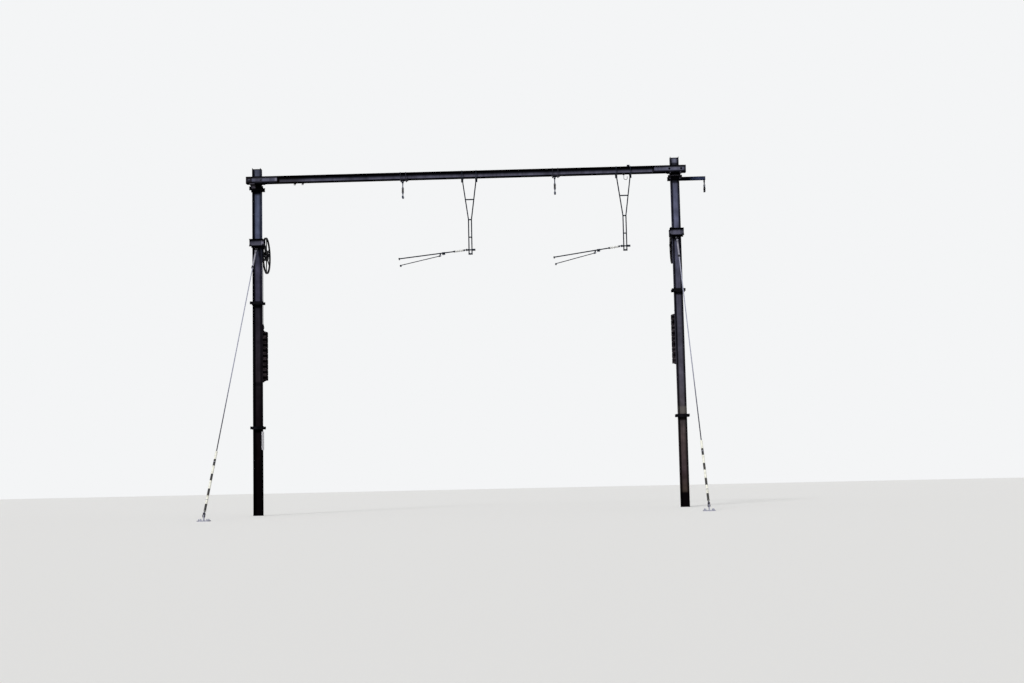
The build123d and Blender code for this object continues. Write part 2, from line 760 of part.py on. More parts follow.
# Strap that runs over the beam from a plate under it, with its nuts below the plate
def add_strap(x):
    inner = beam_width / 2 + strap_play
    outer = inner + strap_thickness
    strap_plane = Plane(origin=(x, beam_y, 0), x_dir=(0, 1, 0), z_dir=(1, 0, 0))
    with BuildSketch(strap_plane) as strap:
        with BuildLine():
            Polyline(
                (-outer, beam_bottom),
                (-outer, beam_top + strap_thickness),
                (outer, beam_top + strap_thickness),
                (outer, beam_bottom),
                (inner, beam_bottom),
                (inner, beam_top),
                (-inner, beam_top),
                (-inner, beam_bottom),
                close=True,
            )
        make_face()
    extrude(strap.sketch, amount=strap_width / 2, both=True)
    leg = (inner + outer) / 2
    nut_plane = Plane(origin=(x, beam_y, beam_bottom - strap_plate), x_dir=(1, 0, 0), z_dir=(0, 0, -1))
    with BuildSketch(nut_plane) as nuts:
        with Locations((0, -leg), (0, leg)):
            RegularPolygon(radius=strap_nut_radius, side_count=6)
    extrude(nuts.sketch, amount=strap_nut_height)


# Hanger: two bars that meet below the beam, with cross bars, straps and the swivel at its foot
def make_hanger(side):
    centre = hanger_centre[side]
    half_top = hanger_top_spread / 2
    half_foot = hanger_foot_spread / 2
    half_bar = hanger_bar / 2
    lug_bottom = beam_bottom - strap_plate - hanger_lug_height
    meeting = beam_bottom - hanger_meeting_drop
    plate_width = beam_width + 2 * strap_plate_lip
    with BuildPart() as hanger:
        frame_plane = Plane(origin=(centre, beam_y, 0), x_dir=(1, 0, 0), z_dir=(0, -1, 0))
        with BuildSketch(frame_plane) as frame:
            for hand in (-1, 1):
                with BuildLine():
                    Polyline(
                        (hand * (half_top - half_bar), beam_bottom - strap_plate),
                        (hand * (half_top + half_bar), beam_bottom - strap_plate),
                        (hand * (half_foot + half_bar), meeting),
                        (hand * (half_foot + half_bar), hanger_foot),
                        (hand * (half_foot - half_bar), hanger_foot),
                        (hand * (half_foot - half_bar), meeting),
                        close=True,
                    )
                make_face()
            slope = (half_top - half_foot) / (hanger_meeting_drop - strap_plate)
            crossbar_half = half_foot + slope * (hanger_meeting_drop - hanger_crossbar_drop)
            with Locations((0, beam_bottom - hanger_crossbar_drop)):
                Rectangle(2 * crossbar_half, hanger_crossbar)
            with Locations((0, meeting), (0, beam_bottom - hanger_tie_drop)):
                Rectangle(2 * half_foot, hanger_crossbar)
        extrude(frame.sketch, amount=half_bar, both=True)
        for hand in (-1, 1):
            foot_x = centre + hand * half_top
            with Locations((foot_x, beam_y, beam_bottom - strap_plate / 2)):
                Box(hanger_lug_width, plate_width, strap_plate)
            with Locations((foot_x, beam_y, (beam_bottom - strap_plate + lug_bottom) / 2)):
                Box(hanger_lug_width, hanger_bar, hanger_lug_height)
            add_strap(foot_x)
        upright = (Align.CENTER, Align.CENTER, Align.MIN)
        with Locations((centre, beam_y, hanger_foot)):
            Box(hanger_foot_width, hanger_foot_depth, hanger_foot_height, align=upright)
        if side == "right":
            with Locations((centre + saddle_offset, beam_y, beam_top)):
                Box(saddle_length, saddle_depth, saddle_height, align=upright)
        bar_start = swivel_ear_radius + swivel_hub_gap - swivel_reach
        bar_length = swivel_bar_tail - bar_start
        with Locations((centre + bar_start + bar_length / 2, swivel_y, swivel_height)):
            Box(bar_length, swivel_bar, swivel_bar)
        with Locations((centre + swivel_bar_tail - swivel_jaw_length / 2, swivel_y, swivel_height)):
            Box(swivel_jaw_length, swivel_jaw, swivel_jaw)
        ear_middle = swivel_tongue / 2 + pivot_gap + swivel_ear / 2
        for rise in (-ear_middle, ear_middle):
            with Locations((centre - swivel_reach, swivel_y, swivel_height + rise)):
                Cylinder(swivel_ear_radius, swivel_ear)
            ear_length = swivel_reach + bar_start + swivel_ear_radius
            with Locations((centre - swivel_reach + ear_length / 2, swivel_y, swivel_height + rise)):
                Box(ear_length, 2 * swivel_ear_radius, swivel_ear)
        with Locations((centre - swivel_reach, swivel_y, swivel_height)):
            Cylinder(swivel_pin_radius, 2 * ear_middle + swivel_ear + rod_tail)
    hanger.part.label = f"{side}_hanger"
    export_step(hanger.part, f"parts/{side}_hanger.step")


# Plane of a registration arm: origin on the swivel pin, local z along the arm, local y downwards
def arm_plane(side):
    slope = radians(arm_tilt_degrees[side])
    return Plane(
        origin=(hanger_centre[side] - swivel_reach, swivel_y, swivel_height),
        x_dir=(0, 1, 0),
        z_dir=(-cos(slope), 0, -sin(slope)),
    )


# Registration arm: swivel tongue, two insulator caps, tube with an end cap and the steady arm's clamp
def make_registration_arm(side):
    pivot_x = hanger_centre[side] - swivel_reach
    insulator_start = arm_cap_start + arm_cap_length
    insulator_end = insulator_start + arm_insulator_length
    tube_start = insulator_end + arm_cap_length
    from_start = (Align.CENTER, Align.CENTER, Align.MIN)
    with BuildPart() as arm:
        with Locations((pivot_x, swivel_y, swivel_height)):
            Cylinder(swivel_ear_radius, swivel_tongue)
        with Locations((pivot_x - arm_cap_start / 2, swivel_y, swivel_height)):
            Box(arm_cap_start, 2 * arm_radius - swivel_pin_radius, swivel_tongue)
        with Locations(arm_plane(side)):
            with Locations((0, 0, arm_cap_start)):
                Cylinder(arm_cap_radius, arm_cap_length, align=from_start)
            with Locations((0, 0, insulator_end)):
                Cylinder(arm_cap_radius, arm_cap_length, align=from_start)
            with Locations((0, 0, tube_start)):
                Cylinder(arm_radius, arm_length - tube_start, align=from_start)
            with Locations((0, 0, arm_length - arm_end_length)):
                Cylinder(arm_end_radius, arm_end_length, align=from_start)
            with Locations((0, arm_clamp_sag, arm_clamp_start + arm_clamp_length / 2)):
                Box(arm_clamp_width, arm_clamp_width, arm_clamp_length)
            with Locations((0, steady_pivot_below / 2, steady_pivot_along)):
                Box(steady_lug, steady_pivot_below, 2 * steady_lug_radius)
            with Locations(Location((0, steady_pivot_below, steady_pivot_along), (0, 90, 0))):
                Cylinder(steady_lug_radius, steady_lug)
                Cylinder(steady_pin_radius + clearance, steady_lug, mode=Mode.SUBTRACT)
        with Locations((pivot_x, swivel_y, swivel_height)):
            Cylinder(swivel_pin_radius + clearance, swivel_tongue, mode=Mode.SUBTRACT)
    arm.part.label = f"{side}_registration_arm"
    export_step(arm.part, f"parts/{side}_registration_arm.step")


# Sheds of an insulator along the local z axis, each a flat cone that drops to its rim
def add_sheds(start, length, count, core_radius, shed_radius):
    pitch = length / count
    from_start = (Align.CENTER, Align.CENTER, Align.MIN)
    with Locations((0, 0, start)):
        Cylinder(core_radius, length, align=from_start)
    for number in range(count):
        with Locations((0, 0, start + (number + 0.25) * pitch)):
            Cone(core_radius, shed_radius, pitch / 4, align=from_start)
        with Locations((0, 0, start + (number + 0.5) * pitch)):
            Cone(shed_radius, core_radius, pitch / 4, align=from_start)


# Insulator between the two caps of a registration arm
def make_registration_insulator(side):
    start = arm_cap_start + arm_cap_length
    with BuildPart(arm_plane(side)) as insulator:
        add_sheds(start, arm_insulator_length, arm_shed_count, arm_insulator_core, arm_shed_radius)
    insulator.part.label = f"{side}_registration_insulator"
    export_step(insulator.part, f"parts/{side}_registration_insulator.step")


# Place of the pin on which a steady arm tilts
def steady_pivot(side):
    slope = radians(arm_tilt_degrees[side])
    along = steady_pivot_along
    below = steady_pivot_below
    x = hanger_centre[side] - swivel_reach - along * cos(slope) + below * sin(slope)
    z = swivel_height - along * sin(slope) - below * cos(slope)
    return (x, swivel_y, z)


# Steady arm: fork and pin, tube and the clip for the contact wire
def make_steady_arm(side):
    slope = radians(steady_tilt_degrees[side])
    x, y, z = steady_pivot(side)
    direction = (-cos(slope), 0, -sin(slope))
    half_outer = steady_lug / 2 + pivot_gap + steady_cheek
    cheek_middle = half_outer - steady_cheek / 2
    crown_start = steady_fork
    crown_length = 2 * steady_cheek
    tip = Vector(x, y, z) + Vector(*direction) * steady_length
    with BuildPart() as steady:
        with Locations(Plane(origin=(x, y, z), x_dir=(0, 1, 0), z_dir=direction)):
            for offset in (-cheek_middle, cheek_middle):
                with Locations(Location((offset, 0, 0), (0, 90, 0))):
                    Cylinder(steady_lug_radius, steady_cheek)
                with Locations((offset, 0, crown_start / 2)):
                    Box(steady_cheek, 2 * steady_lug_radius, crown_start)
            with Locations((0, 0, crown_start + crown_length / 2)):
                Box(2 * half_outer, 2 * steady_lug_radius, crown_length)
            with Locations(Location((0, 0, 0), (0, 90, 0))):
                Cylinder(steady_pin_radius, 2 * half_outer + rod_tail)
            with Locations((0, 0, crown_start + crown_length)):
                tube_length = steady_length - crown_start - crown_length
                Cylinder(steady_radius, tube_length, align=(Align.CENTER, Align.CENTER, Align.MIN))
        with Locations((tip.X, tip.Y, tip.Z - clip_height / 2 + steady_radius)):
            Box(clip_width, clip_length, clip_height)
        bore_z = tip.Z - clip_height + steady_radius + 2 * contact_bore
        cut_hole_y(tip.X, tip.Y, bore_z, contact_bore, clip_length)
    steady.part.label = f"{side}_steady_arm"
    export_step(steady.part, f"parts/{side}_steady_arm.step")
    print(f"{side} contact wire bore at {tip.X:.2f} {tip.Y:.2f} {bore_z:.2f}")


# Plates strapped under the beam, each with the eye of a messenger wire insulator
def make_messenger_brackets():
    plate_width = beam_width + 2 * strap_plate_lip
    plate_length = messenger_plate_left + messenger_plate_right
    with BuildPart() as brackets:
        for side in sides:
            x = messenger_x[side]
            middle = x + (messenger_plate_right - messenger_plate_left) / 2
            with Locations((middle, beam_y, beam_bottom - strap_plate / 2)):
                Box(plate_length, plate_width, strap_plate)
            add_strap(x - messenger_strap_left)
            add_strap(x + messenger_strap_right)
            lug_plane = Plane(origin=(x, beam_y, 0), x_dir=(1, 0, 0), z_dir=(0, -1, 0))
            with BuildSketch(lug_plane) as lug:
                with BuildLine():
                    Polyline(
                        (-messenger_plate_left, beam_bottom - strap_plate),
                        (messenger_plate_right, beam_bottom - strap_plate),
                        (messenger_lug_radius, messenger_pivot_height),
                        (-messenger_lug_radius, messenger_pivot_height),
                        close=True,
                    )
                make_face()
                with Locations((0, messenger_pivot_height)):
                    Circle(messenger_lug_radius)
                    Circle(messenger_pin_radius + clearance, mode=Mode.SUBTRACT)
            extrude(lug.sketch, amount=messenger_lug / 2, both=True)
    brackets.part.label = "messenger_brackets"
    export_step(brackets.part, "parts/messenger_brackets.step")


# Fork that hangs on a lug across the track: cheeks, crown and pin, at the local origin
def add_hanging_fork(lug, cheek, reach, radius, pin_radius):
    half_outer = lug / 2 + pivot_gap + cheek
    cheek_middle = half_outer - cheek / 2
    for offset in (-cheek_middle, cheek_middle):
        with Locations(Location((0, offset, 0), (90, 0, 0))):
            Cylinder(radius, cheek)
        with Locations((0, offset, reach / 2)):
            Box(2 * radius, cheek, reach)
    with Locations((0, 0, reach + cheek / 2)):
        Box(2 * radius, 2 * half_outer, cheek)
    with Locations(Location((0, 0, 0), (90, 0, 0))):
        Cylinder(pin_radius, 2 * half_outer + rod_tail)


# Frame at a hanging set's pin with its local z pointing down
def hanging_plane(x, y, z):
    return Plane(origin=(x, y, z), x_dir=(1, 0, 0), z_dir=(0, 0, -1))


# Insulator of the messenger wire
def make_messenger_insulator(side):
    with BuildPart(hanging_plane(messenger_x[side], beam_y, messenger_pivot_height)) as insulator:
        add_sheds(
            messenger_body_start,
            messenger_body_length,
            messenger_shed_count,
            messenger_core,
            messenger_shed_radius,
        )
    insulator.part.label = f"{side}_messenger_insulator"
    export_step(insulator.part, f"parts/{side}_messenger_insulator.step")


# Metal of the messenger wire's hanging set: fork, neck and cap above, cap, link and clamp below
def make_messenger_fittings(side):
    body_end = messenger_body_start + messenger_body_length
    link_start = body_end + messenger_cap_length
    clamp_start = link_start + messenger_link_length
    neck_start = messenger_fork + messenger_cheek
    from_start = (Align.CENTER, Align.CENTER, Align.MIN)
    with BuildPart(hanging_plane(messenger_x[side], beam_y, messenger_pivot_height)) as fittings:
        add_hanging_fork(
            messenger_lug, messenger_cheek, messenger_fork, messenger_lug_radius, messenger_pin_radius
        )
        with Locations((0, 0, neck_start)):
            Cylinder(messenger_neck, messenger_body_start - neck_start, align=from_start)
        for cap_start in (messenger_body_start - messenger_cap_length, body_end):
            with Locations((0, 0, cap_start)):
                Cylinder(messenger_cap_radius, messenger_cap_length, align=from_start)
        with Locations((0, 0, link_start)):
            Cylinder(messenger_neck, messenger_link_length, align=from_start)
        with Locations((0, 0, clamp_start)):
            Box(messenger_clamp_width, messenger_clamp_length, messenger_clamp_height, align=from_start)
        with Locations(Location((0, 0, clamp_start + messenger_clamp_height / 2), (90, 0, 0))):
            Cylinder(messenger_bore, messenger_clamp_length, mode=Mode.SUBTRACT)
    fittings.part.label = f"{side}_messenger_fittings"
    export_step(fittings.part, f"parts/{side}_messenger_fittings.step")


# Channel behind the right mast that reaches out to carry the feeder wire
def make_feeder_arm():
    x = mast_x["right"]
    with BuildPart() as arm:
        add_back_channel(x - seat_ear_width / 2, x + feeder_reach)
        for reach in (-seat_rod_spacing / 2, seat_rod_spacing / 2):
            cut_hole_y(x + reach, mast_back, seat_rod_height, clamp_rod_radius + clearance, 2 * channel_flange)
        lug_plane = Plane(
            origin=(x + feeder_pivot_reach, feeder_y, feeder_pivot_height), x_dir=(1, 0, 0), z_dir=(0, -1, 0)
        )
        with BuildSketch(lug_plane) as lug:
            Circle(steady_lug_radius)
            with Locations((0, feeder_pivot_drop / 2)):
                Rectangle(2 * steady_lug_radius, feeder_pivot_drop)
            Circle(steady_pin_radius + clearance, mode=Mode.SUBTRACT)
        extrude(lug.sketch, amount=feeder_lug / 2, both=True)
    arm.part.label = "feeder_arm"
    export_step(arm.part, "parts/feeder_arm.step")


# Short insulator of the feeder wire
def make_feeder_insulator():
    x = mast_x["right"] + feeder_pivot_reach
    with BuildPart(hanging_plane(x, feeder_y, feeder_pivot_height)) as insulator:
        add_sheds(feeder_body_start, feeder_body_length, feeder_shed_count, feeder_core, feeder_shed_radius)
    insulator.part.label = "feeder_insulator"
    export_step(insulator.part, "parts/feeder_insulator.step")


# Metal of the feeder wire's hanging set: fork and neck above, wire clamp below
def make_feeder_fittings():
    x = mast_x["right"] + feeder_pivot_reach
    neck_start = feeder_fork + feeder_cheek
    body_end = feeder_body_start + feeder_body_length
    from_start = (Align.CENTER, Align.CENTER, Align.MIN)
    with BuildPart(hanging_plane(x, feeder_y, feeder_pivot_height)) as fittings:
        add_hanging_fork(feeder_lug, feeder_cheek, feeder_fork, steady_lug_radius, steady_pin_radius)
        with Locations((0, 0, neck_start)):
            Cylinder(messenger_neck, feeder_body_start - neck_start, align=from_start)
        with Locations((0, 0, body_end)):
            Box(feeder_clamp_width, feeder_clamp_length, feeder_clamp_height, align=from_start)
        with Locations(Location((0, 0, body_end + feeder_clamp_height / 2), (90, 0, 0))):
            Cylinder(messenger_bore, feeder_clamp_length, mode=Mode.SUBTRACT)
    fittings.part.label = "feeder_fittings"
    export_step(fittings.part, "parts/feeder_fittings.step")


# Bare plate on the inner flange of the left mast
def make_number_plate():
    face = mast_depth / 2
    with BuildPart() as plate:
        plate_x = face + number_plate_standoff + number_plate_thickness / 2
        with Locations((plate_x, 0, number_plate_centre)):
            Box(number_plate_thickness, number_plate_width, number_plate_height)
        half_pitch = number_plate_strip_pitch / 2
        strip_x = face + number_plate_standoff / 2
        with Locations(
            (strip_x, 0, number_plate_centre - half_pitch), (strip_x, 0, number_plate_centre + half_pitch)
        ):
            Box(number_plate_standoff, mast_width, number_plate_strip)
    plate.part.label = "number_plate"
    export_step(plate.part, "parts/number_plate.step")


# Two small lugs and an open hook under the beam
def make_spare_lugs():
    with BuildPart() as lugs:
        for x in spare_lug_x:
            with Locations((x, beam_y, beam_bottom - strap_plate / 2)):
                Box(spare_lug_size, beam_width, strap_plate)
            lug_middle = beam_bottom - (strap_plate + spare_lug_drop) / 2
            with Locations((x, beam_y, lug_middle)):
                Box(spare_lug_size, strap_plate, spare_lug_drop - strap_plate)
            hole_height = beam_bottom - spare_lug_drop + 2 * spare_lug_hole
            cut_hole_y(x, beam_y, hole_height, spare_lug_hole, strap_plate)
        with Locations((hook_x, beam_y, beam_bottom - strap_plate / 2)):
            Box(spare_lug_size, beam_width, strap_plate)
        hook_plane = Plane(origin=(hook_x, beam_y, beam_bottom), x_dir=(1, 0, 0), z_dir=(0, -1, 0))
        with BuildLine(hook_plane) as hook_path:
            straight = Line((0, -strap_plate / 2), (0, -hook_drop))
            CenterArc((hook_radius, -hook_drop), hook_radius, 180, 180)
            Line((2 * hook_radius, -hook_drop), (2 * hook_radius, hook_tip - hook_drop))
        with BuildSketch(Plane(origin=straight @ 0, z_dir=straight % 0)) as wire:
            Circle(hook_wire)
        sweep(wire.sketch, path=hook_path.line)
    lugs.part.label = "spare_lugs"
    export_step(lugs.part, "parts/spare_lugs.step")


make_cross_beam()
make_beam_end_plates()
make_messenger_brackets()
make_feeder_arm()
make_feeder_insulator()
make_feeder_fittings()
make_guy_guards()
make_guy_anchors()
make_guide_rods()
make_number_plate()
make_spare_lugs()
for side_name in sides:
    make_mast(side_name)
    make_beam_clamp(side_name)
    make_beam_seat(side_name)
    make_anchor_clamp(side_name)
    make_guy(side_name)
    make_wheel_bracket(side_name)
    make_tension_wheel(side_name)
    make_weight_stack(side_name)
    make_weight_rod(side_name)
    make_weight_rope(side_name)
    make_guide_collars(side_name)
    make_hanger(side_name)
    make_registration_arm(side_name)
    make_registration_insulator(side_name)
    make_steady_arm(side_name)
    make_messenger_insulator(side_name)
    make_messenger_fittings(side_name)
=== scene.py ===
import bpy
import json
import math
from mathutils import Matrix, Vector


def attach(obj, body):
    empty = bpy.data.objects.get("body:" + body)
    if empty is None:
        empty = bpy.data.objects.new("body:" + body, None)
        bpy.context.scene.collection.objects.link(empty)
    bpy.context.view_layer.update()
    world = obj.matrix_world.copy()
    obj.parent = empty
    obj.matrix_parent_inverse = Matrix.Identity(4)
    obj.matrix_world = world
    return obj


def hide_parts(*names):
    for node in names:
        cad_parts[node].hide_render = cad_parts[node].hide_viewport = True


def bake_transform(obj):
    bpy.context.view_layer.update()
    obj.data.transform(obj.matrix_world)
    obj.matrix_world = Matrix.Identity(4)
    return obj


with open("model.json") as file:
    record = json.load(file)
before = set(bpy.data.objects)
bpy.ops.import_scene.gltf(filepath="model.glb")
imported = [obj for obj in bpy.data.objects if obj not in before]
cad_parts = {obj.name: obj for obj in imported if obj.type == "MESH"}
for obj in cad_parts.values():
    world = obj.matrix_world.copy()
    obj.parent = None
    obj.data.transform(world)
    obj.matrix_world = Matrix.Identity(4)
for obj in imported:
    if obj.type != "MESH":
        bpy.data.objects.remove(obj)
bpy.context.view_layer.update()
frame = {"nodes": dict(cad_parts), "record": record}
print("frame loaded", len(frame["nodes"]), "nodes")


# camera first: close to the floor in front, tipped up and rolled a little
cameraValues = {"place": (7.3281, -35.8815, 0.6), "turn": (95.646, 1.2206, 1.7376), "lens": 51.328,
                "sensor": 36.0, "clipEnd": 1000.0}
cameraData = bpy.data.cameras.new("camera")
cameraData.lens = cameraValues["lens"]
cameraData.sensor_width = cameraValues["sensor"]
cameraData.clip_end = cameraValues["clipEnd"]
camera = bpy.data.objects.new("camera", cameraData)
bpy.context.scene.collection.objects.link(camera)
camera.location = cameraValues["place"]
camera.rotation_euler = [math.radians(v) for v in cameraValues["turn"]]
bpy.context.scene.camera = camera
bpy.context.scene.view_settings.view_transform = "Standard"


# building blocks of the finishes

def linearColour(hexText):
    # sRGB hex to the linear values that the sockets want
    channels = [int(hexText[i:i + 2], 16) / 255 for i in (1, 3, 5)]
    return [c / 12.92 if c <= 0.04045 else ((c + 0.055) / 1.055) ** 2.4 for c in channels] + [1.0]


def fillInputs(node, inputs):
    # sockets are linked and other values set; text is a hex colour
    for key, value in inputs.items():
        if isinstance(value, bpy.types.NodeSocket):
            node.id_data.links.new(value, node.inputs[key])
        else:
            node.inputs[key].default_value = linearColour(value) if isinstance(value, str) else value


def addNode(kind, settings=None, inputs=None, tree=None):
    # the node goes into the tree of the sockets that it is linked to, unless one is given
    inputs = inputs or {}
    if tree is None:
        tree = next(value.id_data for value in inputs.values() if isinstance(value, bpy.types.NodeSocket))
    node = tree.nodes.new("ShaderNode" + kind)
    for key, value in (settings or {}).items():
        setattr(node, key, value)
    fillInputs(node, inputs)
    return node


def newMaterial(name):
    material = bpy.data.materials.new(name)
    material.use_nodes = True
    return material, addNode("TexCoord", tree=material.node_tree).outputs["Object"]


def fillRamp(ramp, stops):
    # the first and last stop of a new ramp are there already
    elements = ramp.color_ramp.elements
    while len(elements) < len(stops):
        elements.new(0.5)
    for element, (position, colour) in zip(elements, stops):
        element.position = position
        element.color = linearColour(colour)


def compute(operation, *values):
    return addNode("Math", {"operation": operation}, dict(enumerate(values))).outputs[0]


def multiply(first, second):
    return compute("MULTIPLY", first, second)


def computeVector(operation, *values):
    return addNode("VectorMath", {"operation": operation}, dict(enumerate(values))).outputs


def scaleColour(colour, factor):
    return addNode("VectorMath", {"operation": "SCALE"}, {0: colour, "Scale": factor}).outputs[0]


def splitAxes(vector):
    return addNode("SeparateXYZ", None, {"Vector": vector}).outputs


def noise(place, scale, detail, roughness=0.5):
    return addNode("TexNoise", None, {"Vector": place, "Scale": scale, "Detail": detail,
                                      "Roughness": roughness}).outputs["Fac"]


def drawnOut(place, scale, roughness):
    # noise stretched along z, for what rain has washed down
    stretched = addNode("Mapping", None, {"Vector": place, "Scale": scale}).outputs[0]
    return noise(stretched, 1.0, 5.0, roughness)


def spread(value, low, high, atLow=0.0, atHigh=1.0, smooth=False):
    # carries the value's range low..high over to atLow..atHigh
    settings = {"interpolation_type": "SMOOTHSTEP"} if smooth else None
    return addNode("MapRange", settings, {"Value": value, "From Min": low, "From Max": high,
                                          "To Min": atLow, "To Max": atHigh}).outputs["Result"]


def mixColour(share, below, above):
    return addNode("Mix", {"data_type": "RGBA"}, {0: share, 6: below, 7: above}).outputs[2]


def farFrom(axis, centre):
    return compute("ABSOLUTE", compute("SUBTRACT", axis, centre))


def insideBox(place, low, high, soft):
    # 1 inside the box, falling to 0 over the soft edge outside it
    centre = [(a + b) / 2 for a, b in zip(low, high)]
    half = [(b - a) / 2 for a, b in zip(low, high)]
    away = computeVector("SUBTRACT", place, centre)[0]
    away = computeVector("ABSOLUTE", away)[0]
    axes = splitAxes(computeVector("SUBTRACT", away, half)[0])
    most = compute("MAXIMUM", compute("MAXIMUM", axes["X"], axes["Y"]), axes["Z"])
    return spread(most, soft, 0.0, smooth=True)


def setSurface(material, colour, rough, gloss, height, strength, depth, metal=0.0):
    # gloss = specular level, height = what stands out of the surface, depth = how far in metres
    bump = addNode("Bump", None, {"Height": height, "Strength": strength, "Distance": depth})
    fillInputs(material.node_tree.nodes["Principled BSDF"],
               {"Base Color": colour, "Roughness": rough, "Specular IOR Level": gloss, "Metallic": metal,
                "Normal": bump.outputs["Normal"]})
    return material


# Weathered paint over rolled steel: chalky, with no gloss left. Painted shade darkens the web's
# corners and the flanges' rolled edges; there are dirt runs, stains, pits and rust blooms.
# Heights and places are in metres, stops in shares of the ramp's height.
# zones = (lowest corner, highest corner, soft edge, colour, strength)
wearValues = {"rampHeight": 8.7, "dirtiest": 0.66, "clampDirtAndShade": 0.3, "clampRun": 0.7, "chipEdge": 0.06,
              "chipAmount": 0.7, "tarEdge": 0.04, "tarTone": "#0e0b0d"}


def mastBands(centre, bands):
    # zones over a mast's whole width: (lower end, upper end, soft edge, colour, strength)
    return [((centre - 0.15, -0.12, low), (centre + 0.15, 0.12, high), soft, tone, amount)
            for low, high, soft, tone, amount in bands]


# the flanges' outer faces get the open paint at this share: painted shade
outerFlangeShade = {"from": 0.1030, "to": 0.1046, "share": 0.75}
rightMastPaint = {
    "name": "weatheredPaintRightMast", "rust": 0.64, "rustTone": "#33201a", "tar": 0.34,
    "stops": [(0.0, "#443b33"), (0.05, "#463c37"), (0.10, "#4b3e42"), (0.20, "#5b4f4f"), (0.27, "#5c565a"),
              (0.36, "#63606e"), (0.47, "#53525f"), (0.60, "#545263"), (0.67, "#616278"), (0.82, "#6a6d88"),
              (0.90, "#60637b"), (0.985, "#6c6e80")],
    "flangeShade": {"axis": "X", "centre": 10.45, "from": 0.035, "to": 0.090, "top": "#202029", "foot": "#151110"},
    "edge": {"centre": 0.0, "from": 0.092, "to": 0.107, "colour": "#08070a"},
    "outer": outerFlangeShade,
    "runs": (6.70, 5.32, 2.22),
    # painted shadow under the anchor clamp, the collars and the seat; dark bands above the beam and at the
    # top
    "zones": mastBands(10.45, [(6.62, 6.70, 0.05, "#020203", 0.97), (6.30, 6.70, 0.25, "#26252c", 0.35),
                               (5.255, 5.35, 0.05, "#08080a", 0.88), (2.165, 2.20, 0.07, "#08080a", 0.85),
                               (8.120, 8.25, 0.09, "#050508", 0.95), (8.38, 8.50, 0.05, "#121217", 0.85),
                               (8.636, 8.66, 0.012, "#121218", 0.9)])
    + [((10.38, -0.12, 2.31), (10.52, 0.12, 2.42), 0.06, "#7d7871", 0.45)]}
leftMastPaint = {
    "name": "weatheredPaintLeftMast", "rust": 0.66, "rustTone": "#1d1110",
    "stops": [(0.0, "#0b080b"), (0.10, "#0d090b"), (0.20, "#150f11"), (0.28, "#1d171c"), (0.36, "#242024"),
              (0.385, "#312b31"), (0.50, "#342f38"), (0.598, "#323039"), (0.612, "#49475a"),
              (0.70, "#4f4d62"), (0.82, "#606782"), (0.90, "#5d647e"), (0.98, "#62667a")],
    "flangeShade": {"axis": "X", "centre": 0.0, "from": 0.036, "to": 0.092, "top": "#1b1c24", "foot": "#060405"},
    "edge": {"centre": 0.0, "from": 0.092, "to": 0.107, "colour": "#060507"},
    "outer": outerFlangeShade,
    "runs": (6.70, 5.26, 2.15),
    # painted shadow under the anchor clamp, the collars and the seat; dark bands at 3.2 m, above the beam and
    # at the top
    "zones": mastBands(0.0, [(6.63, 6.70, 0.06, "#020203", 0.97), (6.35, 6.70, 0.25, "#1e1d24", 0.50),
                             (5.190, 5.24, 0.10, "#060608", 0.85), (3.22, 3.26, 0.06, "#08070a", 0.6),
                             (2.080, 2.13, 0.05, "#030303", 0.85), (8.060, 8.25, 0.11, "#050508", 0.95),
                             (8.40, 8.46, 0.03, "#08080c", 0.85), (8.636, 8.66, 0.012, "#121218", 0.9)])}
beamPaint = {
    "name": "weatheredPaintBeam", "rust": 0.62, "rustTone": "#33221e",
    # the web lighter low down and darker under the top flange: painted shade of the flange
    "stops": [(0.0, "#4a4c5e"), (0.951, "#575869"), (0.9538, "#656374"), (0.9556, "#4d4e5f"),
              (0.9575, "#363742"), (0.9597, "#1c1c23")],
    "flangeShade": {"axis": "Z", "centre": 8.320, "from": 0.044, "to": 0.066, "top": "#07070b", "foot": "#07070b"},
    "edge": {"centre": -0.200, "from": 0.060, "to": 0.085, "colour": "#030305"},
    # painted shadow on the web beside the left plate's end and beside the right plate's edge
    "zones": [((0.556, -0.30, 8.20), (0.600, -0.10, 8.42), 0.012, "#030305", 0.97),
              ((9.895, -0.30, 8.20), (9.931, -0.10, 8.42), 0.010, "#0a0a10", 0.75),
              ((0.55, -0.30, 8.20), (1.00, -0.10, 8.42), 0.25, "#241d1c", 0.45),
              ((-0.30, -0.30, 8.405), (10.80, -0.10, 8.42), 0.0004, "#3e3c43", 0.85)]}
endPlatePaint = {
    "name": "weatheredPaintEndPlates", "rust": 0.64, "rustTone": "#35251f",
    "stops": [(0.0, "#5c5d70"), (0.950, "#5c5d70"), (0.9560, "#696a7f"), (0.962, "#54555f")],
    "flangeShade": {"axis": "Z", "centre": 8.318, "from": 0.022, "to": 0.058, "top": "#060609", "foot": "#07070a"},
    "zones": [((0.508, -0.30, 8.29), (0.540, -0.28, 8.345), 0.014, "#8c8a9a", 0.70),
              ((0.38, -0.30, 8.20), (0.47, -0.28, 8.44), 0.04, "#33323d", 0.35),
              ((-0.225, -0.30, 8.20), (-0.090, -0.28, 8.44), 0.04, "#171314", 0.80),
              ((0.02, -0.30, 8.20), (0.16, -0.28, 8.44), 0.06, "#26252c", 0.55),
              ((10.68, -0.30, 8.20), (10.712, -0.10, 8.44), 0.03, "#16151b", 0.75)]}
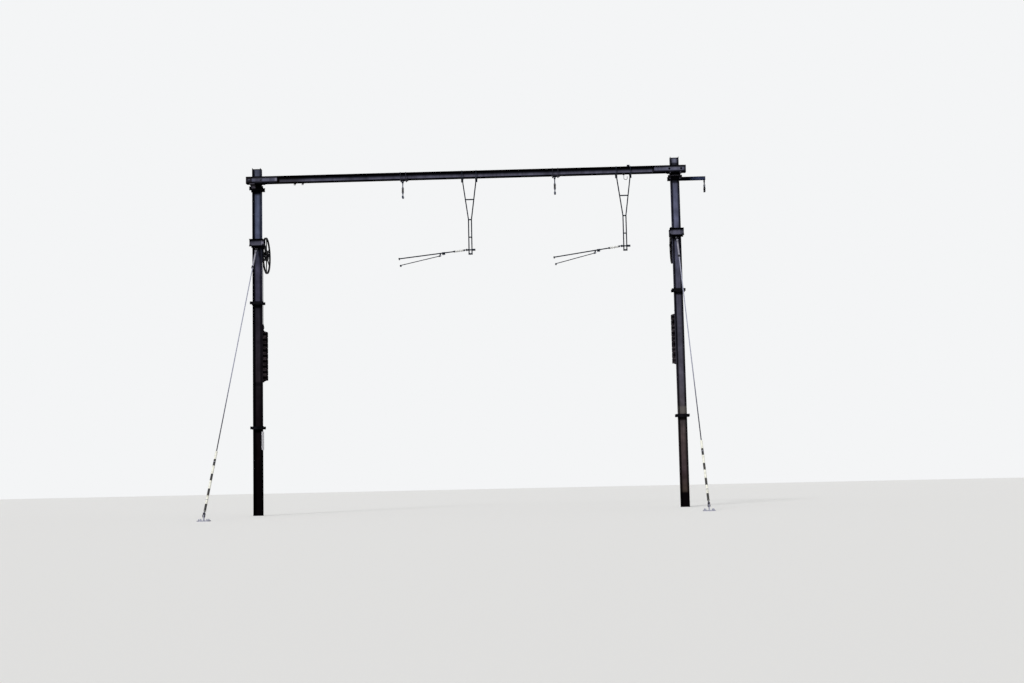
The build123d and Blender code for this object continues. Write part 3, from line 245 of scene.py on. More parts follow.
clampPaint = {
    "name": "weatheredPaintAnchorClamps", "rust": 0.62, "rustTone": "#2b1e1b",
    "stops": [(0.0, "#50505d"), (0.772, "#565664"), (0.777, "#545463"), (0.786, "#32323c")],
    "flangeShade": {"axis": "Z", "centre": 6.765, "from": 0.050, "to": 0.074, "top": "#050507", "foot": "#050507"},
    # a painted highlight on the left clamp's end, a lighter web on the right one, painted shadow under the
    # clamps, their backs darker
    "zones": [((0.128, -0.19, 6.72), (0.178, -0.10, 6.81), 0.02, "#8d8a9c", 0.75),
              ((10.38, -0.13, 6.72), (10.52, -0.10, 6.80), 0.04, "#74738a", 0.45),
              ((-0.20, -0.19, 6.50), (10.70, -0.10, 6.680), 0.01, "#020203", 0.97),
              ((-0.20, 0.10, 6.60), (10.70, 0.16, 6.90), 0.01, "#0b0b0f", 0.90)]}
seatPaint = {
    "name": "darkSeatPaintWithHighlights", "rust": 0.63, "rustTone": "#1d1413",
    "stops": [(0.0, "#0c0c11"), (0.9300, "#101015"), (0.9460, "#08080b")],
    # painted highlights on the seats' gusset and shelf edges
    "zones": [((-0.100, -0.30, 8.170), (-0.045, -0.11, 8.200), 0.045, "#a09cae", 0.85),
              ((10.27, -0.30, 8.170), (10.63, -0.12, 8.190), 0.006, "#6d6b78", 0.8),
              ((10.312, -0.31, 8.10), (10.336, -0.12, 8.24), 0.008, "#5c5a66", 0.75),
              ((10.564, -0.31, 8.10), (10.590, -0.12, 8.24), 0.008, "#64626e", 0.8)]}
feederArmPaint = {
    "name": "weatheredPaintFeederArm", "rust": 0.64, "rustTone": "#1d1718",
    "stops": [(0.0, "#2d3248"), (0.935, "#343a54"), (0.9395, "#2a3044")],
    "flangeShade": {"axis": "Z", "centre": 8.1405, "from": 0.030, "to": 0.042, "top": "#10111a", "foot": "#10111a"},
    # painted shadow of the seat on the arm beside the mast
    "zones": [((10.20, 0.0, 8.0), (10.80, 0.20, 8.3), 0.16, "#06070d", 0.9)]}


def weatheredPaint(values):
    material, place = newMaterial(values["name"])
    axes = splitAxes(place)
    share = compute("DIVIDE", axes["Z"], wearValues["rampHeight"])
    ramp = addNode("ValToRGB", None, {"Fac": share})
    fillRamp(ramp, values["stops"])
    # chalked patches a hand or two across, lighter than the rest
    patches = noise(place, 6.0, 4.0)
    shade = spread(patches, 0.36, 0.68, 0.90, 1.28)
    # dull stains half a metre long, which break up the web
    stains = noise(place, 2.3, 5.0, 0.6)
    shade = multiply(shade, spread(stains, 0.48, 0.68, 1.0, 0.68))
    # runs of dirt 40 to 60 mm apart and about a metre long
    streaks = drawnOut(place, (20.0, 20.0, 1.0), 0.6)
    dirtiest = wearValues["dirtiest"]
    for level in values.get("runs", ()):
        # dirt and painted shade, heavier under each clamp and collar, fading out below it
        under = compute("LESS_THAN", axes["Z"], level)
        drop = multiply(spread(axes["Z"], level - wearValues["clampRun"], level), under)
        dirtiest = compute("MULTIPLY_ADD", drop, -wearValues["clampDirtAndShade"], dirtiest)
    shade = multiply(shade, spread(streaks, 0.44, 0.72, 1.0, dirtiest))
    openPaint = scaleColour(ramp.outputs["Color"], shade)
    colour = openPaint
    if "flangeShade" in values:
        # painted shade deepening towards the flanges, in the corners beside them
        flangeShade = values["flangeShade"]
        away = farFrom(axes[flangeShade["axis"]], flangeShade["centre"])
        flangeShadeMask = spread(away, flangeShade["from"], flangeShade["to"], smooth=True)
        flangeShadeMask = multiply(flangeShadeMask, spread(streaks, 0.35, 0.7, 1.0, 0.88))
        colour = mixColour(flangeShadeMask, colour, mixColour(share, flangeShade["foot"], flangeShade["top"]))
    if "edge" in values:
        # painted shade, near black, on the rolled edges
        edge = values["edge"]
        rolledEdgeShadeMask = spread(farFrom(axes["Y"], edge["centre"]), edge["from"], edge["to"], smooth=True)
        colour = mixColour(multiply(rolledEdgeShadeMask, flangeShadeMask), colour, edge["colour"])
    if "outer" in values:
        # painted shade on the flanges' outer faces: the open paint at a share of it, less deep than in the
        # corners
        outer = values["outer"]
        outerShaded = scaleColour(openPaint, outer["share"])
        colour = mixColour(spread(away, outer["from"], outer["to"]), colour, outerShaded)
    # places that differ: painted shadow under clamps, collars and seats, painted highlights, bare patches,
    # the shaded strip beside a plate
    for low, high, soft, tone, amount in values["zones"]:
        colour = mixColour(multiply(insideBox(place, low, high, soft), amount), colour, tone)
    # rust blooms of 10 to 40 mm where the paint has chipped
    chips = noise(place, 26.0, 6.0, 0.65)
    rustFrom = values["rust"]
    rust = spread(chips, rustFrom, rustFrom + wearValues["chipEdge"], 0.0, wearValues["chipAmount"])
    colour = mixColour(rust, colour, values["rustTone"])
    if "tar" in values:
        # tar band round the foot
        tar = spread(axes["Z"], values["tar"] + wearValues["tarEdge"], values["tar"])
        colour = mixColour(tar, colour, wearValues["tarTone"])
    # pits and lifted flakes, drawn at 3 to 8 mm, coarser than real ones so that they show
    relief = compute("ADD", noise(place, 120.0, 3.0), chips)
    return setSurface(material, colour, spread(patches, 0.3, 0.7, 0.70, 0.95), 0.0, relief, 0.4, 0.003)


# Bare and galvanised steel, rope and glazes: two tones in blotches, streaks of dirt, fine relief.
# (name, light tone, dark tone, dirt, blotch scale, where dirt begins, smoothest and dullest, gloss,
# grain scale, relief in metres, metallic if it shows). Soot takes nearly all gloss from the steel, and
# a glaze keeps the whole. The last three are for pieces that differ from the rest of their slot.
mottledValues = {
    "dark_steel": ("sootyClampSteel", "#15151b", "#060609", "#150e0c", 9.0, 0.6, (0.6, 0.85), 0.02,
        150.0, 0.0012),
    "wheel_iron": ("paintedWheelIron", "#18181f", "#060608", "#20130f", 12.0, 0.62, (0.55, 0.8), 0.04,
        140.0, 0.001),
    # the arm steel is galvanised; its dark blue-grey is painted shade
    "arm_steel": ("shadeDarkenedArmSteel", "#252c39", "#11151d", "#1a1414", 14.0, 0.62, (0.55, 0.8), 0.05,
        160.0, 0.0008),
    "galvanised": ("dullGalvanisedSteel", "#babbc9", "#8b8c9a", "#5b5350", 45.0, 0.64, (0.42, 0.62), 0.4,
        170.0, 0.0006, 0.25),
    "rope_steel": ("greasedWireRope", "#2a2a2e", "#0d0d10", "#1c1410", 60.0, 0.56, (0.35, 0.6), 0.25,
        400.0, 0.0006, 0.2),
    "white_glaze": ("whitePorcelainGlaze", "#f1f1ec", "#d6d7d4", "#6a625d", 26.0, 0.62, (0.1, 0.28), 0.5,
        60.0, 0.0002),
    "brown_glaze": ("brownPorcelainGlaze", "#140d10", "#070508", "#060507", 24.0, 0.6, (0.16, 0.34),
        0.35, 60.0, 0.0002),
    "grey_glaze": ("greyPorcelainGlaze", "#5a6072", "#343946", "#201f25", 24.0, 0.6, (0.12, 0.3), 0.4,
        60.0, 0.0002),
    "white_paint": ("bareEnamelPlate", "#efedf3", "#cfcdd6", "#7a6c62", 15.0, 0.62, (0.28, 0.5), 0.5,
        80.0, 0.0004),
    "sets": ("stainedGalvanisedSets", "#465166", "#262d3b", "#1c1a20", 30.0, 0.6, (0.5, 0.7), 0.1, 170.0,
        0.0006),
    "straps": ("stainedStrapSteel", "#3c3b45", "#1b1b22", "#1c1613", 20.0, 0.6, (0.6, 0.8), 0.04, 150.0,
        0.0008),
    "left_clamp": ("paintedClampSteel", "#62626f", "#33333c", "#1c1613", 14.0, 0.6, (0.6, 0.85), 0.02,
        150.0, 0.0012)}


def mottledFinish(name, light, dark, dirt, blotch, dirtFrom, rough, gloss, grain, relief, metal=0.0):
    material, place = newMaterial(name)
    blotches = noise(place, blotch, 4.0, 0.6)
    colour = mixColour(spread(blotches, 0.35, 0.65), dark, light)
    # dirt drawn out downwards by rain
    runs = drawnOut(place, (32.0, 32.0, 7.0), 0.62)
    colour = mixColour(spread(runs, dirtFrom - 0.06, dirtFrom + 0.06, 0.0, 0.8), colour, dirt)
    smoothest, dullest = rough
    return setSurface(material, colour, spread(blotches, 0.3, 0.7, dullest, smoothest), gloss,
                      noise(place, grain, 3.0), 0.5, relief, metal)


# cast iron weights: sooty, with a lighter band of wear and painted highlight where each disc meets the next,
# broken into patches
discValues = {"count": 9, "pitch": 0.1355, "reach": 0.2, "rust": "#241712"}
weightIron = {
    "left": {"name": "castWeightsLeft", "centre": (0.084, 0.275), "bottom": 3.344, "low": "#0e0c10",
             "high": "#0c0a0e", "rim": "#655a60", "side": (-0.095, 0.070)},
    "right": {"name": "castWeightsRight", "centre": (10.385, 0.275), "bottom": 3.531, "low": "#211d22",
              "high": "#0a090c", "rim": "#4a4449", "side": (-0.085, 0.085)}}


def castIron(values):
    material, place = newMaterial(values["name"])
    height = splitAxes(place)["Z"]
    bottom = values["bottom"]
    pitch = discValues["pitch"]
    top = bottom + pitch * discValues["count"]
    colour = mixColour(spread(height, bottom, top), values["low"], values["high"])
    sand = noise(place, 18.0, 6.0, 0.7)
    # each disc counted from the stack's foot: hooks and hands rub the 50 mm round its upper edge, and a
    # painted highlight lies there too
    level = compute("MODULO", compute("SUBTRACT", height, bottom), pitch)
    wornAndLitBand = spread(compute("PINGPONG", level, pitch / 2), 0.048, 0.026, smooth=True)
    wornAndLitBand = multiply(wornAndLitBand, spread(sand, 0.40, 0.54, 0.35))
    # some discs are handled less than others and stay dark
    handled = noise(place, 5.5, 1.0)
    wornAndLitBand = multiply(wornAndLitBand, spread(handled, 0.40, 0.52, 0.45))
    # the band only on the stack's lit side, between the side limits in x: painted highlight
    x, y = values["centre"]
    near, far = values["side"]
    reach = discValues["reach"]
    inside = insideBox(place, (x + near, y - reach, bottom), (x + far, y + reach, top), 0.035)
    colour = mixColour(multiply(wornAndLitBand, inside), colour, values["rim"])
    colour = mixColour(spread(sand, 0.56, 0.64, 0.0, 0.5), colour, discValues["rust"])
    # the sand mould leaves 2 to 4 mm of grain
    return setSurface(material, colour, 0.85, 0.0, noise(place, 220.0, 4.0), 0.6, 0.002)


# Guys: bright galvanised turnbuckle, rod pale above and dull with dirt towards its foot; the fork at the
# upper pin darkened with painted shade of the anchor clamp.
# Distances run from the upper pin down the guy.
guySteel = {"name": "galvanisedGuy", "bright": "#9d9ca8", "upper": "#a9abbd", "lower": "#34343e",
            "coupling": "#2b2b33", "fork": "#0f0f13", "stain": "#4c4a50", "pinZ": 6.605, "slope": 0.76604,
            "brightTo": 0.652, "sleeve": (0.685, 0.037), "dull": (3.6, 6.4), "forkShadeFade": (0.21, 0.08)}


def guyFinish(values):
    material, place = newMaterial(values["name"])
    drop = compute("SUBTRACT", values["pinZ"], splitAxes(place)["Z"])
    along = compute("DIVIDE", drop, values["slope"])
    colour = mixColour(spread(along, *values["dull"], smooth=True), values["upper"], values["lower"])
    colour = mixColour(compute("LESS_THAN", along, values["brightTo"]), colour, values["bright"])
    colour = mixColour(compute("COMPARE", along, *values["sleeve"]), colour, values["coupling"])
    # painted shade of the anchor clamp over the fork, fading out down the guy
    colour = mixColour(spread(along, *values["forkShadeFade"]), colour, values["fork"])
    # zinc weathers in blotches of 20 to 40 mm
    blotches = noise(place, 34.0, 4.0, 0.6)
    colour = mixColour(spread(blotches, 0.45, 0.68, 0.0, 0.45), colour, values["stain"])
    return setSurface(material, colour, spread(blotches, 0.3, 0.7, 0.42, 0.66), 0.12, blotches, 0.3, 0.0006)


# guard tubes: satin plastic, white and black by turns along the guy, grimy towards the foot
guardPlastic = {"name": "stripedGuardPlastic", "pin": (0.0, -0.140, 6.605), "start": 6.7027, "period": 0.412,
                "along": (0.0, -0.64279, -0.76604), "white": 0.225, "pale": "#f2f1e4", "black": "#141317",
                "grime": "#5d5647", "gloss": 0.5}


def stripedPlastic(values):
    material, place = newMaterial(values["name"])
    fromPin = computeVector("SUBTRACT", place, values["pin"])[0]
    along = computeVector("DOT_PRODUCT", fromPin, values["along"])["Value"]
    along = compute("SUBTRACT", along, values["start"] - values["period"])
    along = compute("MODULO", along, values["period"])
    dark = compute("GREATER_THAN", along, values["white"])
    colour = mixColour(dark, values["pale"], values["black"])
    grime = noise(place, 14.0, 5.0, 0.65)
    thickest = spread(splitAxes(place)["Z"], 1.5, 0.1, 0.25, 0.7)
    colour = mixColour(spread(grime, 0.48, 0.70, 0.0, thickest), colour, values["grime"])
    scuffs = noise(place, 90.0, 3.0)
    rough = spread(grime, 0.3, 0.7, 0.35, 0.65)
    return setSurface(material, colour, rough, values["gloss"], scuffs, 0.3, 0.0008)


slotMaterials = {slot: mottledFinish(*values) for slot, values in mottledValues.items()}
slotMaterials.update(mast_paint=weatheredPaint(rightMastPaint), beam_paint=weatheredPaint(beamPaint),
                     plate_paint=weatheredPaint(endPlatePaint), weight_iron=castIron(weightIron["right"]),
                     guard=stripedPlastic(guardPlastic))
# pieces of a slot that weathered differently from the rest of it, or carry painted shade and highlights of
# their own
anchorPaint = weatheredPaint(clampPaint)
seatFinish = weatheredPaint(seatPaint)
guyMaterial = guyFinish(guySteel)
setMaterial = slotMaterials.pop("sets")
leftClampMaterial = slotMaterials.pop("left_clamp")
ownMaterials = {"left_mast": weatheredPaint(leftMastPaint), "left_weight_stack": castIron(weightIron["left"]),
                "left_anchor_clamp": anchorPaint, "right_anchor_clamp": anchorPaint,
                "left_beam_seat": seatFinish, "right_beam_seat": seatFinish,
                "left_beam_clamp": leftClampMaterial, "feeder_arm": weatheredPaint(feederArmPaint),
                "left_guy": guyMaterial, "right_guy": guyMaterial,
                "left_messenger_fittings": setMaterial, "right_messenger_fittings": setMaterial,
                "messenger_brackets": slotMaterials.pop("straps")}

slotOf = {entry["node"]: entry["material_slot"] for entry in frame["record"]["subparts"]}
for nodeName, node in frame["nodes"].items():
    material = ownMaterials.get(nodeName, slotMaterials[slotOf[nodeName]])
    for slot in node.material_slots:
        slot.material = material
print("finishes on the frame's nodes")


# ways of making small pieces

mergeGap = 0.00001


def clearSelection():
    bpy.ops.object.select_all(action="DESELECT")


def startEdit():
    bpy.ops.object.mode_set(mode="EDIT")
    bpy.ops.mesh.select_all(action="SELECT")


def endEdit(smoothAngle):
    bpy.ops.mesh.select_all(action="SELECT")
    bpy.ops.mesh.normals_make_consistent(inside=False)
    bpy.ops.object.mode_set(mode="OBJECT")
    bpy.ops.object.shade_smooth_by_angle(angle=math.radians(smoothAngle))


def turnPiece(rings, segments=32, closed=False):
    # drawn out of one circle, ring by ring along z; rings are (height, radius), closed = back to the first
    if closed:
        rings = rings + rings[:1]
    clearSelection()
    height, radius = rings[0]
    bpy.ops.mesh.primitive_circle_add(vertices=segments, radius=radius)
    startEdit()
    bpy.ops.transform.translate(value=(0, 0, height))
    for nextHeight, nextRadius in rings[1:]:
        bpy.ops.mesh.extrude_region_move(TRANSFORM_OT_translate={"value": (0, 0, nextHeight - height)})
        share = nextRadius / radius
        bpy.ops.transform.resize(value=(share, share, 1), center_override=(0, 0, nextHeight))
        height, radius = nextHeight, nextRadius
    bpy.ops.mesh.select_all(action="SELECT")
    if closed:
        bpy.ops.mesh.remove_doubles(threshold=mergeGap)
    else:
        bpy.ops.mesh.fill_holes(sides=0)
    endEdit(35)
    return bpy.context.object


def flatRing(low, high, bore, outer, segments):
    return turnPiece([(low, bore), (low, outer), (high, outer), (high, bore)], segments, closed=True)


def bandPiece(bore, edge, outer, length, chamfer, segments=32):
    # a ring round a rod, its outer edges rounded off
    return turnPiece([(0, bore), (0, edge), (chamfer, outer), (length - chamfer, outer), (length, edge),
                      (length, bore)], segments, closed=True)


def hexNut(bore, radius, height):
    return turnPiece([(0, bore), (0, radius * 0.93), (0.0015, radius), (height - 0.0015, radius),
                      (height, radius * 0.90), (height, bore)], segments=6, closed=True)


def threadRings(start, pitch, turns, root, crest):
    rings = [(start, root)]
    for turn in range(turns):
        rings += [(start + pitch * (turn + 0.5), crest), (start + pitch * (turn + 1), root)]
    return rings


def blockPiece(size, bevel, taper=None):
    # a block with rolled edges; taper = shrink of its upper end in x and y
    clearSelection()
    bpy.ops.mesh.primitive_cube_add(size=1)
    block = bpy.context.object
    startEdit()
    bpy.ops.transform.resize(value=size)
    if taper:
        bpy.ops.mesh.select_all(action="DESELECT")
        bpy.ops.object.mode_set(mode="OBJECT")
        for face in block.data.polygons:
            face.select = face.normal.z > 0.9
        bpy.ops.object.mode_set(mode="EDIT")
        bpy.ops.transform.resize(value=(taper[0], taper[1], 1))
        bpy.ops.mesh.select_all(action="SELECT")
    bpy.ops.mesh.bevel(offset=bevel, segments=2, affect="EDGES")
    bpy.ops.object.mode_set(mode="OBJECT")
    bpy.ops.object.shade_smooth_by_angle(angle=math.radians(35))
    return block


def sweepRound(piece, rise, turns, steps):
    # the screw modifier carries the profile round z, higher by the rise each turn
    bpy.ops.object.transform_apply()
    sweep = piece.modifiers.new("sweep", "SCREW")
    sweep.axis = "Z"
    sweep.screw_offset = rise
    sweep.iterations = turns
    sweep.steps = steps
    sweep.render_steps = steps
    bpy.ops.object.modifier_apply(modifier=sweep.name)


def joinPieces(pieces):
    clearSelection()
    for piece in pieces:
        piece.select_set(True)
    bpy.context.view_layer.objects.active = pieces[0]
    if len(pieces) > 1:
        bpy.ops.object.join()
    return bpy.context.object


def standAt(place, direction=(0, 0, 1), roll=0.0):
    # the model's z axis along the direction, its foot at the place
    turn = Vector(direction).to_track_quat("Z", "Y").to_matrix().to_4x4()
    return Matrix.Translation(Vector(place)) @ turn @ Matrix.Rotation(roll, 4, "Z")


def moveMesh(piece, spot):
    piece.data.transform(spot)
    return piece


def placeCopies(model, name, spots, body="portal", slot="galvanised", material=None):
    # one copy of the model's mesh at each spot, joined to one piece that rides on the body
    copies = []
    for spot in spots:
        copy = model.copy()
        copy.data = model.data.copy()
        bpy.context.scene.collection.objects.link(copy)
        copies.append(moveMesh(copy, spot))
    piece = joinPieces(copies)
    piece.name = piece.data.name = name
    piece.data.materials.clear()
    piece.data.materials.append(material or slotMaterials[slot])
    if body:
        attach(piece, body)
    return piece


def dropModel(*models):
    for model in models:
        bpy.data.objects.remove(model)


sides = ("left", "right")
hands = (-1, 1)
forward = (0, -1, 0)
back = (0, 1, 0)
down = (0, 0, -1)
mastX = {"left": 0.0, "right": 10.45}
beamValues = {"y": -0.200, "bottom": 8.2345, "top": 8.4055, "front": -0.290, "left": -0.225,
              "rightPlate": 9.932}


def pinHeadSpots(middle, reach):
    # one head at each end of a pin along y
    return [standAt(middle + Vector((0, hand * reach, 0)), (0, hand, 0)) for hand in hands]


def clampBoltSpots(middle, reach, gap):
    # two bolt heads on each side face of a clamp
    return [standAt(middle + Vector((hand * reach, y, 0)), (hand, 0, 0))
            for hand in hands for y in (-gap, gap)]


# washers, nut crowns and thread ends of the rods that grip the masts
rodValues = {"nut": 0.016, "washer": 0.003, "threadPitch": 0.0022, "threadTurns": 3, "tip": 0.0078}
collarHeights = {"left": (2.155, 5.258), "right": (2.227, 5.322)}
# (name, rod radius, front face, rear face, distance from the mast's middle, heights if not by side)
rodSets = [("BeamClamp", 0.012, -0.290, 0.126, 0.145, (8.320,)),
           ("BeamSeat", 0.010, -0.122, 0.116, 0.145, (8.1405,)),
           ("AnchorClamp", 0.010, -0.118, 0.126, 0.157, (6.715, 6.815)),
           ("GuideCollars", 0.010, -0.122, 0.122, 0.140, None)]


def nutDressing(radius):
    # washer under the nut, turned crown on the nut and the rod's threaded end
    bore = radius * 1.02
    outer = radius * 2.15
    top = rodValues["nut"]
    washer = bandPiece(bore, outer - 0.001, outer, rodValues["washer"], 0.001)
    crown = turnPiece([(top - 0.001, bore), (top - 0.001, radius * 1.48), (top + 0.0008, radius * 1.36),
                       (top + 0.0008, bore)], closed=True)
    rings = threadRings(top, rodValues["threadPitch"], rodValues["threadTurns"], radius * 0.96, radius * 1.07)
    rings.append((top + rodValues["tip"], radius * 0.80))
    return joinPieces([washer, crown, turnPiece(rings, segments=20)])


for side in sides:
    for name, radius, frontFace, rearFace, reach, heights in rodSets:
        model = nutDressing(radius)
        spots = [standAt((mastX[side] + hand * reach, face, z), facing)
                 for face, facing in ((frontFace, forward), (rearFace, back))
                 for hand in hands for z in heights or collarHeights[side]]
        painted = leftClampMaterial if side + name == "leftBeamClamp" else None
        placeCopies(model, side + name + "Washers", spots, slot="dark_steel", material=painted)
        dropModel(model)
print("rod ends dressed")


# weld beads where plates meet: laid in short ripples
weldValues = {"radius": 0.0042, "pitch": 0.005, "inset": 0.0095, "rear": -0.1115, "edgeX": (0.5555, 9.9315),
              "edgeY": -0.2835, "edgeFoot": 8.245, "gussetStep": 0.126, "gussetHalf": 0.0065,
              "gussetY": -0.1235, "gussetFoot": 8.112, "lugHalf": 0.0105, "lugY": -0.112, "lugZ": 6.6755,
              "cheekHalf": 0.0525, "cheekY": 0.1385, "cheekFoot": 6.677}


def weldBead(length):
    radius = weldValues["radius"]
    count = max(4, round(length / weldValues["pitch"]))
    rings = [(0, radius * 0.5)]
    for step in range(1, count):
        rings.append((length * step / count, radius * (1.0 if step % 2 else 0.80)))
    rings.append((length, radius * 0.5))
    return turnPiece(rings, segments=8)


endBead = weldBead(0.780)
spots = [standAt((x, y, z), (1, 0, 0))
         for y in (beamValues["front"] + 0.001, weldValues["rear"])
         for x in (beamValues["left"], beamValues["rightPlate"])
         for z in (beamValues["bottom"] + weldValues["inset"], beamValues["top"] - weldValues["inset"])]
placeCopies(endBead, "endPlateWelds", spots, slot="plate_paint")
edgeBead = weldBead(0.150)
spots = [standAt((x, weldValues["edgeY"], weldValues["edgeFoot"])) for x in weldValues["edgeX"]]
placeCopies(edgeBead, "endPlateEdgeWelds", spots, slot="beam_paint")
gussetBead = weldBead(0.092)
lugBead = weldBead(0.062)
cheekBead = weldBead(0.176)
for side in sides:
    x = mastX[side]
    spots = [standAt((x + step * weldValues["gussetStep"] + hand * weldValues["gussetHalf"],
                      weldValues["gussetY"], weldValues["gussetFoot"]))
             for step in (-1, 0, 1) for hand in hands]
    placeCopies(gussetBead, side + "SeatWelds", spots, slot="dark_steel")
    spots = [standAt((x + hand * weldValues["lugHalf"], weldValues["lugY"], weldValues["lugZ"]), forward)
             for hand in hands]
    placeCopies(lugBead, side + "GuyLugWelds", spots, slot="dark_steel")
dropModel(endBead, edgeBead, gussetBead, lugBead)
print("welds laid")


# tension wheels: rope in the groove, rope coil on the drum, ribbed spokes and axle nuts
wheelValues = {"x": {"left": 0.084, "right": 10.385}, "y": 0.725, "z": 6.565, "ropeLine": 0.450,
               "rope": 0.0056, "coilRadius": 0.1212, "coilPitch": 0.0118, "coilTurns": 4, "spokes": 6,
               "ribMiddle": 0.272, "cheekOut": 0.052, "clampFront": 0.128, "clampDrop": 0.020}


def coilPiece(lineRadius, ropeRadius, pitch, turns, steps):
    # a circle beside the axis, swept round it; without a pitch it closes to a ring
    clearSelection()
    foot = -pitch * turns / 2
    bpy.ops.mesh.primitive_circle_add(vertices=10, radius=ropeRadius, location=(lineRadius, 0, foot),
                                      rotation=(math.pi / 2, 0, 0))
    coil = bpy.context.object
    sweepRound(coil, pitch, turns, steps)
    startEdit()
    if pitch == 0:
        bpy.ops.mesh.remove_doubles(threshold=mergeGap)
    else:
        bpy.ops.mesh.fill_holes(sides=0)
    endEdit(40)
    return coil


grooveRope = coilPiece(wheelValues["ropeLine"], wheelValues["rope"], 0, 1, 96)
drumRope = coilPiece(wheelValues["coilRadius"], wheelValues["rope"], wheelValues["coilPitch"],
                     wheelValues["coilTurns"], 40)
rib = blockPiece((0.034, 0.009, 0.300), 0.002, taper=(0.62, 0.9))
axleNut = turnPiece([(0, 0.0255), (0, 0.036), (0.0015, 0.0385), (0.0065, 0.0385), (0.0085, 0.034),
                     (0.0085, 0.0255)], segments=6, closed=True)
ropeClamp = joinPieces([blockPiece((0.026, 0.020, 0.030), 0.003),
                        moveMesh(turnPiece([(-0.004, 0.006), (0.014, 0.006), (0.016, 0.0045)], segments=6),
                                 standAt((0.010, 0, 0.007), (1, 0, 0)))])
for side in sides:
    hub = (wheelValues["x"][side], wheelValues["y"], wheelValues["z"])
    hubX, hubY, hubZ = hub
    body = side + "_wheel"
    placeCopies(grooveRope, side + "GrooveRope", [standAt(hub, (1, 0, 0))], body, "rope_steel")
    placeCopies(drumRope, side + "DrumRope", [standAt(hub, (1, 0, 0))], body, "rope_steel")
    spots = []
    for spoke in range(wheelValues["spokes"]):
        angle = math.radians(90 + 360 * spoke / wheelValues["spokes"])
        outward = Vector((0, math.cos(angle), math.sin(angle)))
        sideways = Vector((0, -math.sin(angle), math.cos(angle)))
        axes = Matrix((Vector((1, 0, 0)), sideways, outward)).transposed().to_4x4()
        spots.append(Matrix.Translation(Vector(hub) + outward * wheelValues["ribMiddle"]) @ axes)
    placeCopies(rib, side + "SpokeRibs", spots, body, "wheel_iron")
    spots = [standAt((hubX + hand * wheelValues["cheekOut"], hubY, hubZ), (hand, 0, 0)) for hand in hands]
    placeCopies(axleNut, side + "AxleNuts", spots, slot="dark_steel")
    clampPlace = (hubX, hubY - wheelValues["clampFront"], hubZ - wheelValues["clampDrop"])
    placeCopies(ropeClamp, side + "DrumRopeClamp", [standAt(clampPlace, forward)], body)
    spots = [standAt((hubX + hand * weldValues["cheekHalf"], weldValues["cheekY"], weldValues["cheekFoot"]))
             for hand in hands]
    placeCopies(cheekBead, side + "BracketWelds", spots, slot="dark_steel")
dropModel(grooveRope, drumRope, rib, axleNut, ropeClamp, cheekBead)
print("wheels roped and ribbed")


# weight ropes: six strands round each other, laid by the screw modifier
ropeValues = {"radius": 0.006, "strand": 0.0021, "strands": 6, "turns": 14, "steps": 12, "y": 0.275,
              "top": 6.565, "foot": {"left": 4.7635, "right": 4.9505}, "pinDrop": 0.095}


def laidRope(length):
    clearSelection()
    circles = []
    line = ropeValues["radius"] - ropeValues["strand"]
    for number in range(ropeValues["strands"]):
        angle = math.radians(360 / ropeValues["strands"] * number)
        bpy.ops.mesh.primitive_circle_add(vertices=7, radius=ropeValues["strand"],
                                          location=(line * math.cos(angle), line * math.sin(angle), 0))
        circles.append(bpy.context.object)
    rope = joinPieces(circles)
    sweepRound(rope, length / ropeValues["turns"], ropeValues["turns"], ropeValues["steps"])
    startEdit()
    bpy.ops.mesh.fill_holes(sides=0)
    endEdit(50)
    return rope


socketPin = turnPiece([(-0.031, 0.005), (-0.031, 0.009), (-0.027, 0.009), (-0.027, 0.005), (0.030, 0.005),
                       (0.032, 0.003)], segments=16)
for side in sides:
    foot = (wheelValues["x"][side], ropeValues["y"], ropeValues["foot"][side])
    x, y, z = foot
    rope = laidRope(ropeValues["top"] - z)
    piece = placeCopies(rope, side + "LaidRope", [standAt(foot)], None, "rope_steel")
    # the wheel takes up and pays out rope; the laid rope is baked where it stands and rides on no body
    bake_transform(piece)
    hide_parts(side + "_weight_rope")
    placeCopies(socketPin, side + "SocketPin", [standAt((x, y, z - ropeValues["pinDrop"]), (1, 0, 0))],
                side + "_weights", "dark_steel")
    dropModel(rope)
dropModel(socketPin)
print("weight ropes laid")


# porcelain bodies of the insulators, with rounded rims and hollow undersides, and the cement at their ends
# start = distance of the porcelain from its pin
armSlope = {"left": math.radians(6.1), "right": math.radians(8.1)}
armPivot = {"left": Vector((5.248, -0.228, 6.4265)), "right": Vector((9.072, -0.228, 6.4265))}
armAxis = {side: Vector((-math.cos(armSlope[side]), 0, -math.sin(armSlope[side]))) for side in sides}
messengerPin = {"left": Vector((3.685, -0.200, 8.1905)), "right": Vector((7.465, -0.200, 8.1905))}
feederPin = Vector((11.195, 0.1325, 8.0645))
plumb = Vector(down)
registrationValues = {"slot": "white_glaze", "start": 0.075, "length": 0.215, "sheds": 5, "core": 0.017,
                      "rim": 0.036}
messengerValues = {"slot": "brown_glaze", "start": 0.164, "length": 0.122, "sheds": 4, "core": 0.022,
                   "rim": 0.034}
feederValues = {"slot": "grey_glaze", "start": 0.085, "length": 0.082, "sheds": 2, "core": 0.020,
                "rim": 0.034}
cementValues = {"out": 0.0035, "thick": 0.004, "sunk": -0.001, "chamfer": 0.002}
# one shed's outline, as (share of the pitch, share of the rim's reach)
shedOutline = [(0.10, 0.02), (0.26, 0.22), (0.38, 0.62), (0.45, 0.93), (0.50, 1.00), (0.56, 0.97),
               (0.585, 0.86), (0.56, 0.55), (0.60, 0.20), (0.72, 0.02)]


def shedRings(length, count, core, rim):
    pitch = length / count
    rings = [(0, core)]
    for number in range(count):
        rings += [(number * pitch + pitch * along, core + (rim - core) * out) for along, out in shedOutline]
    return rings + [(length, core)]


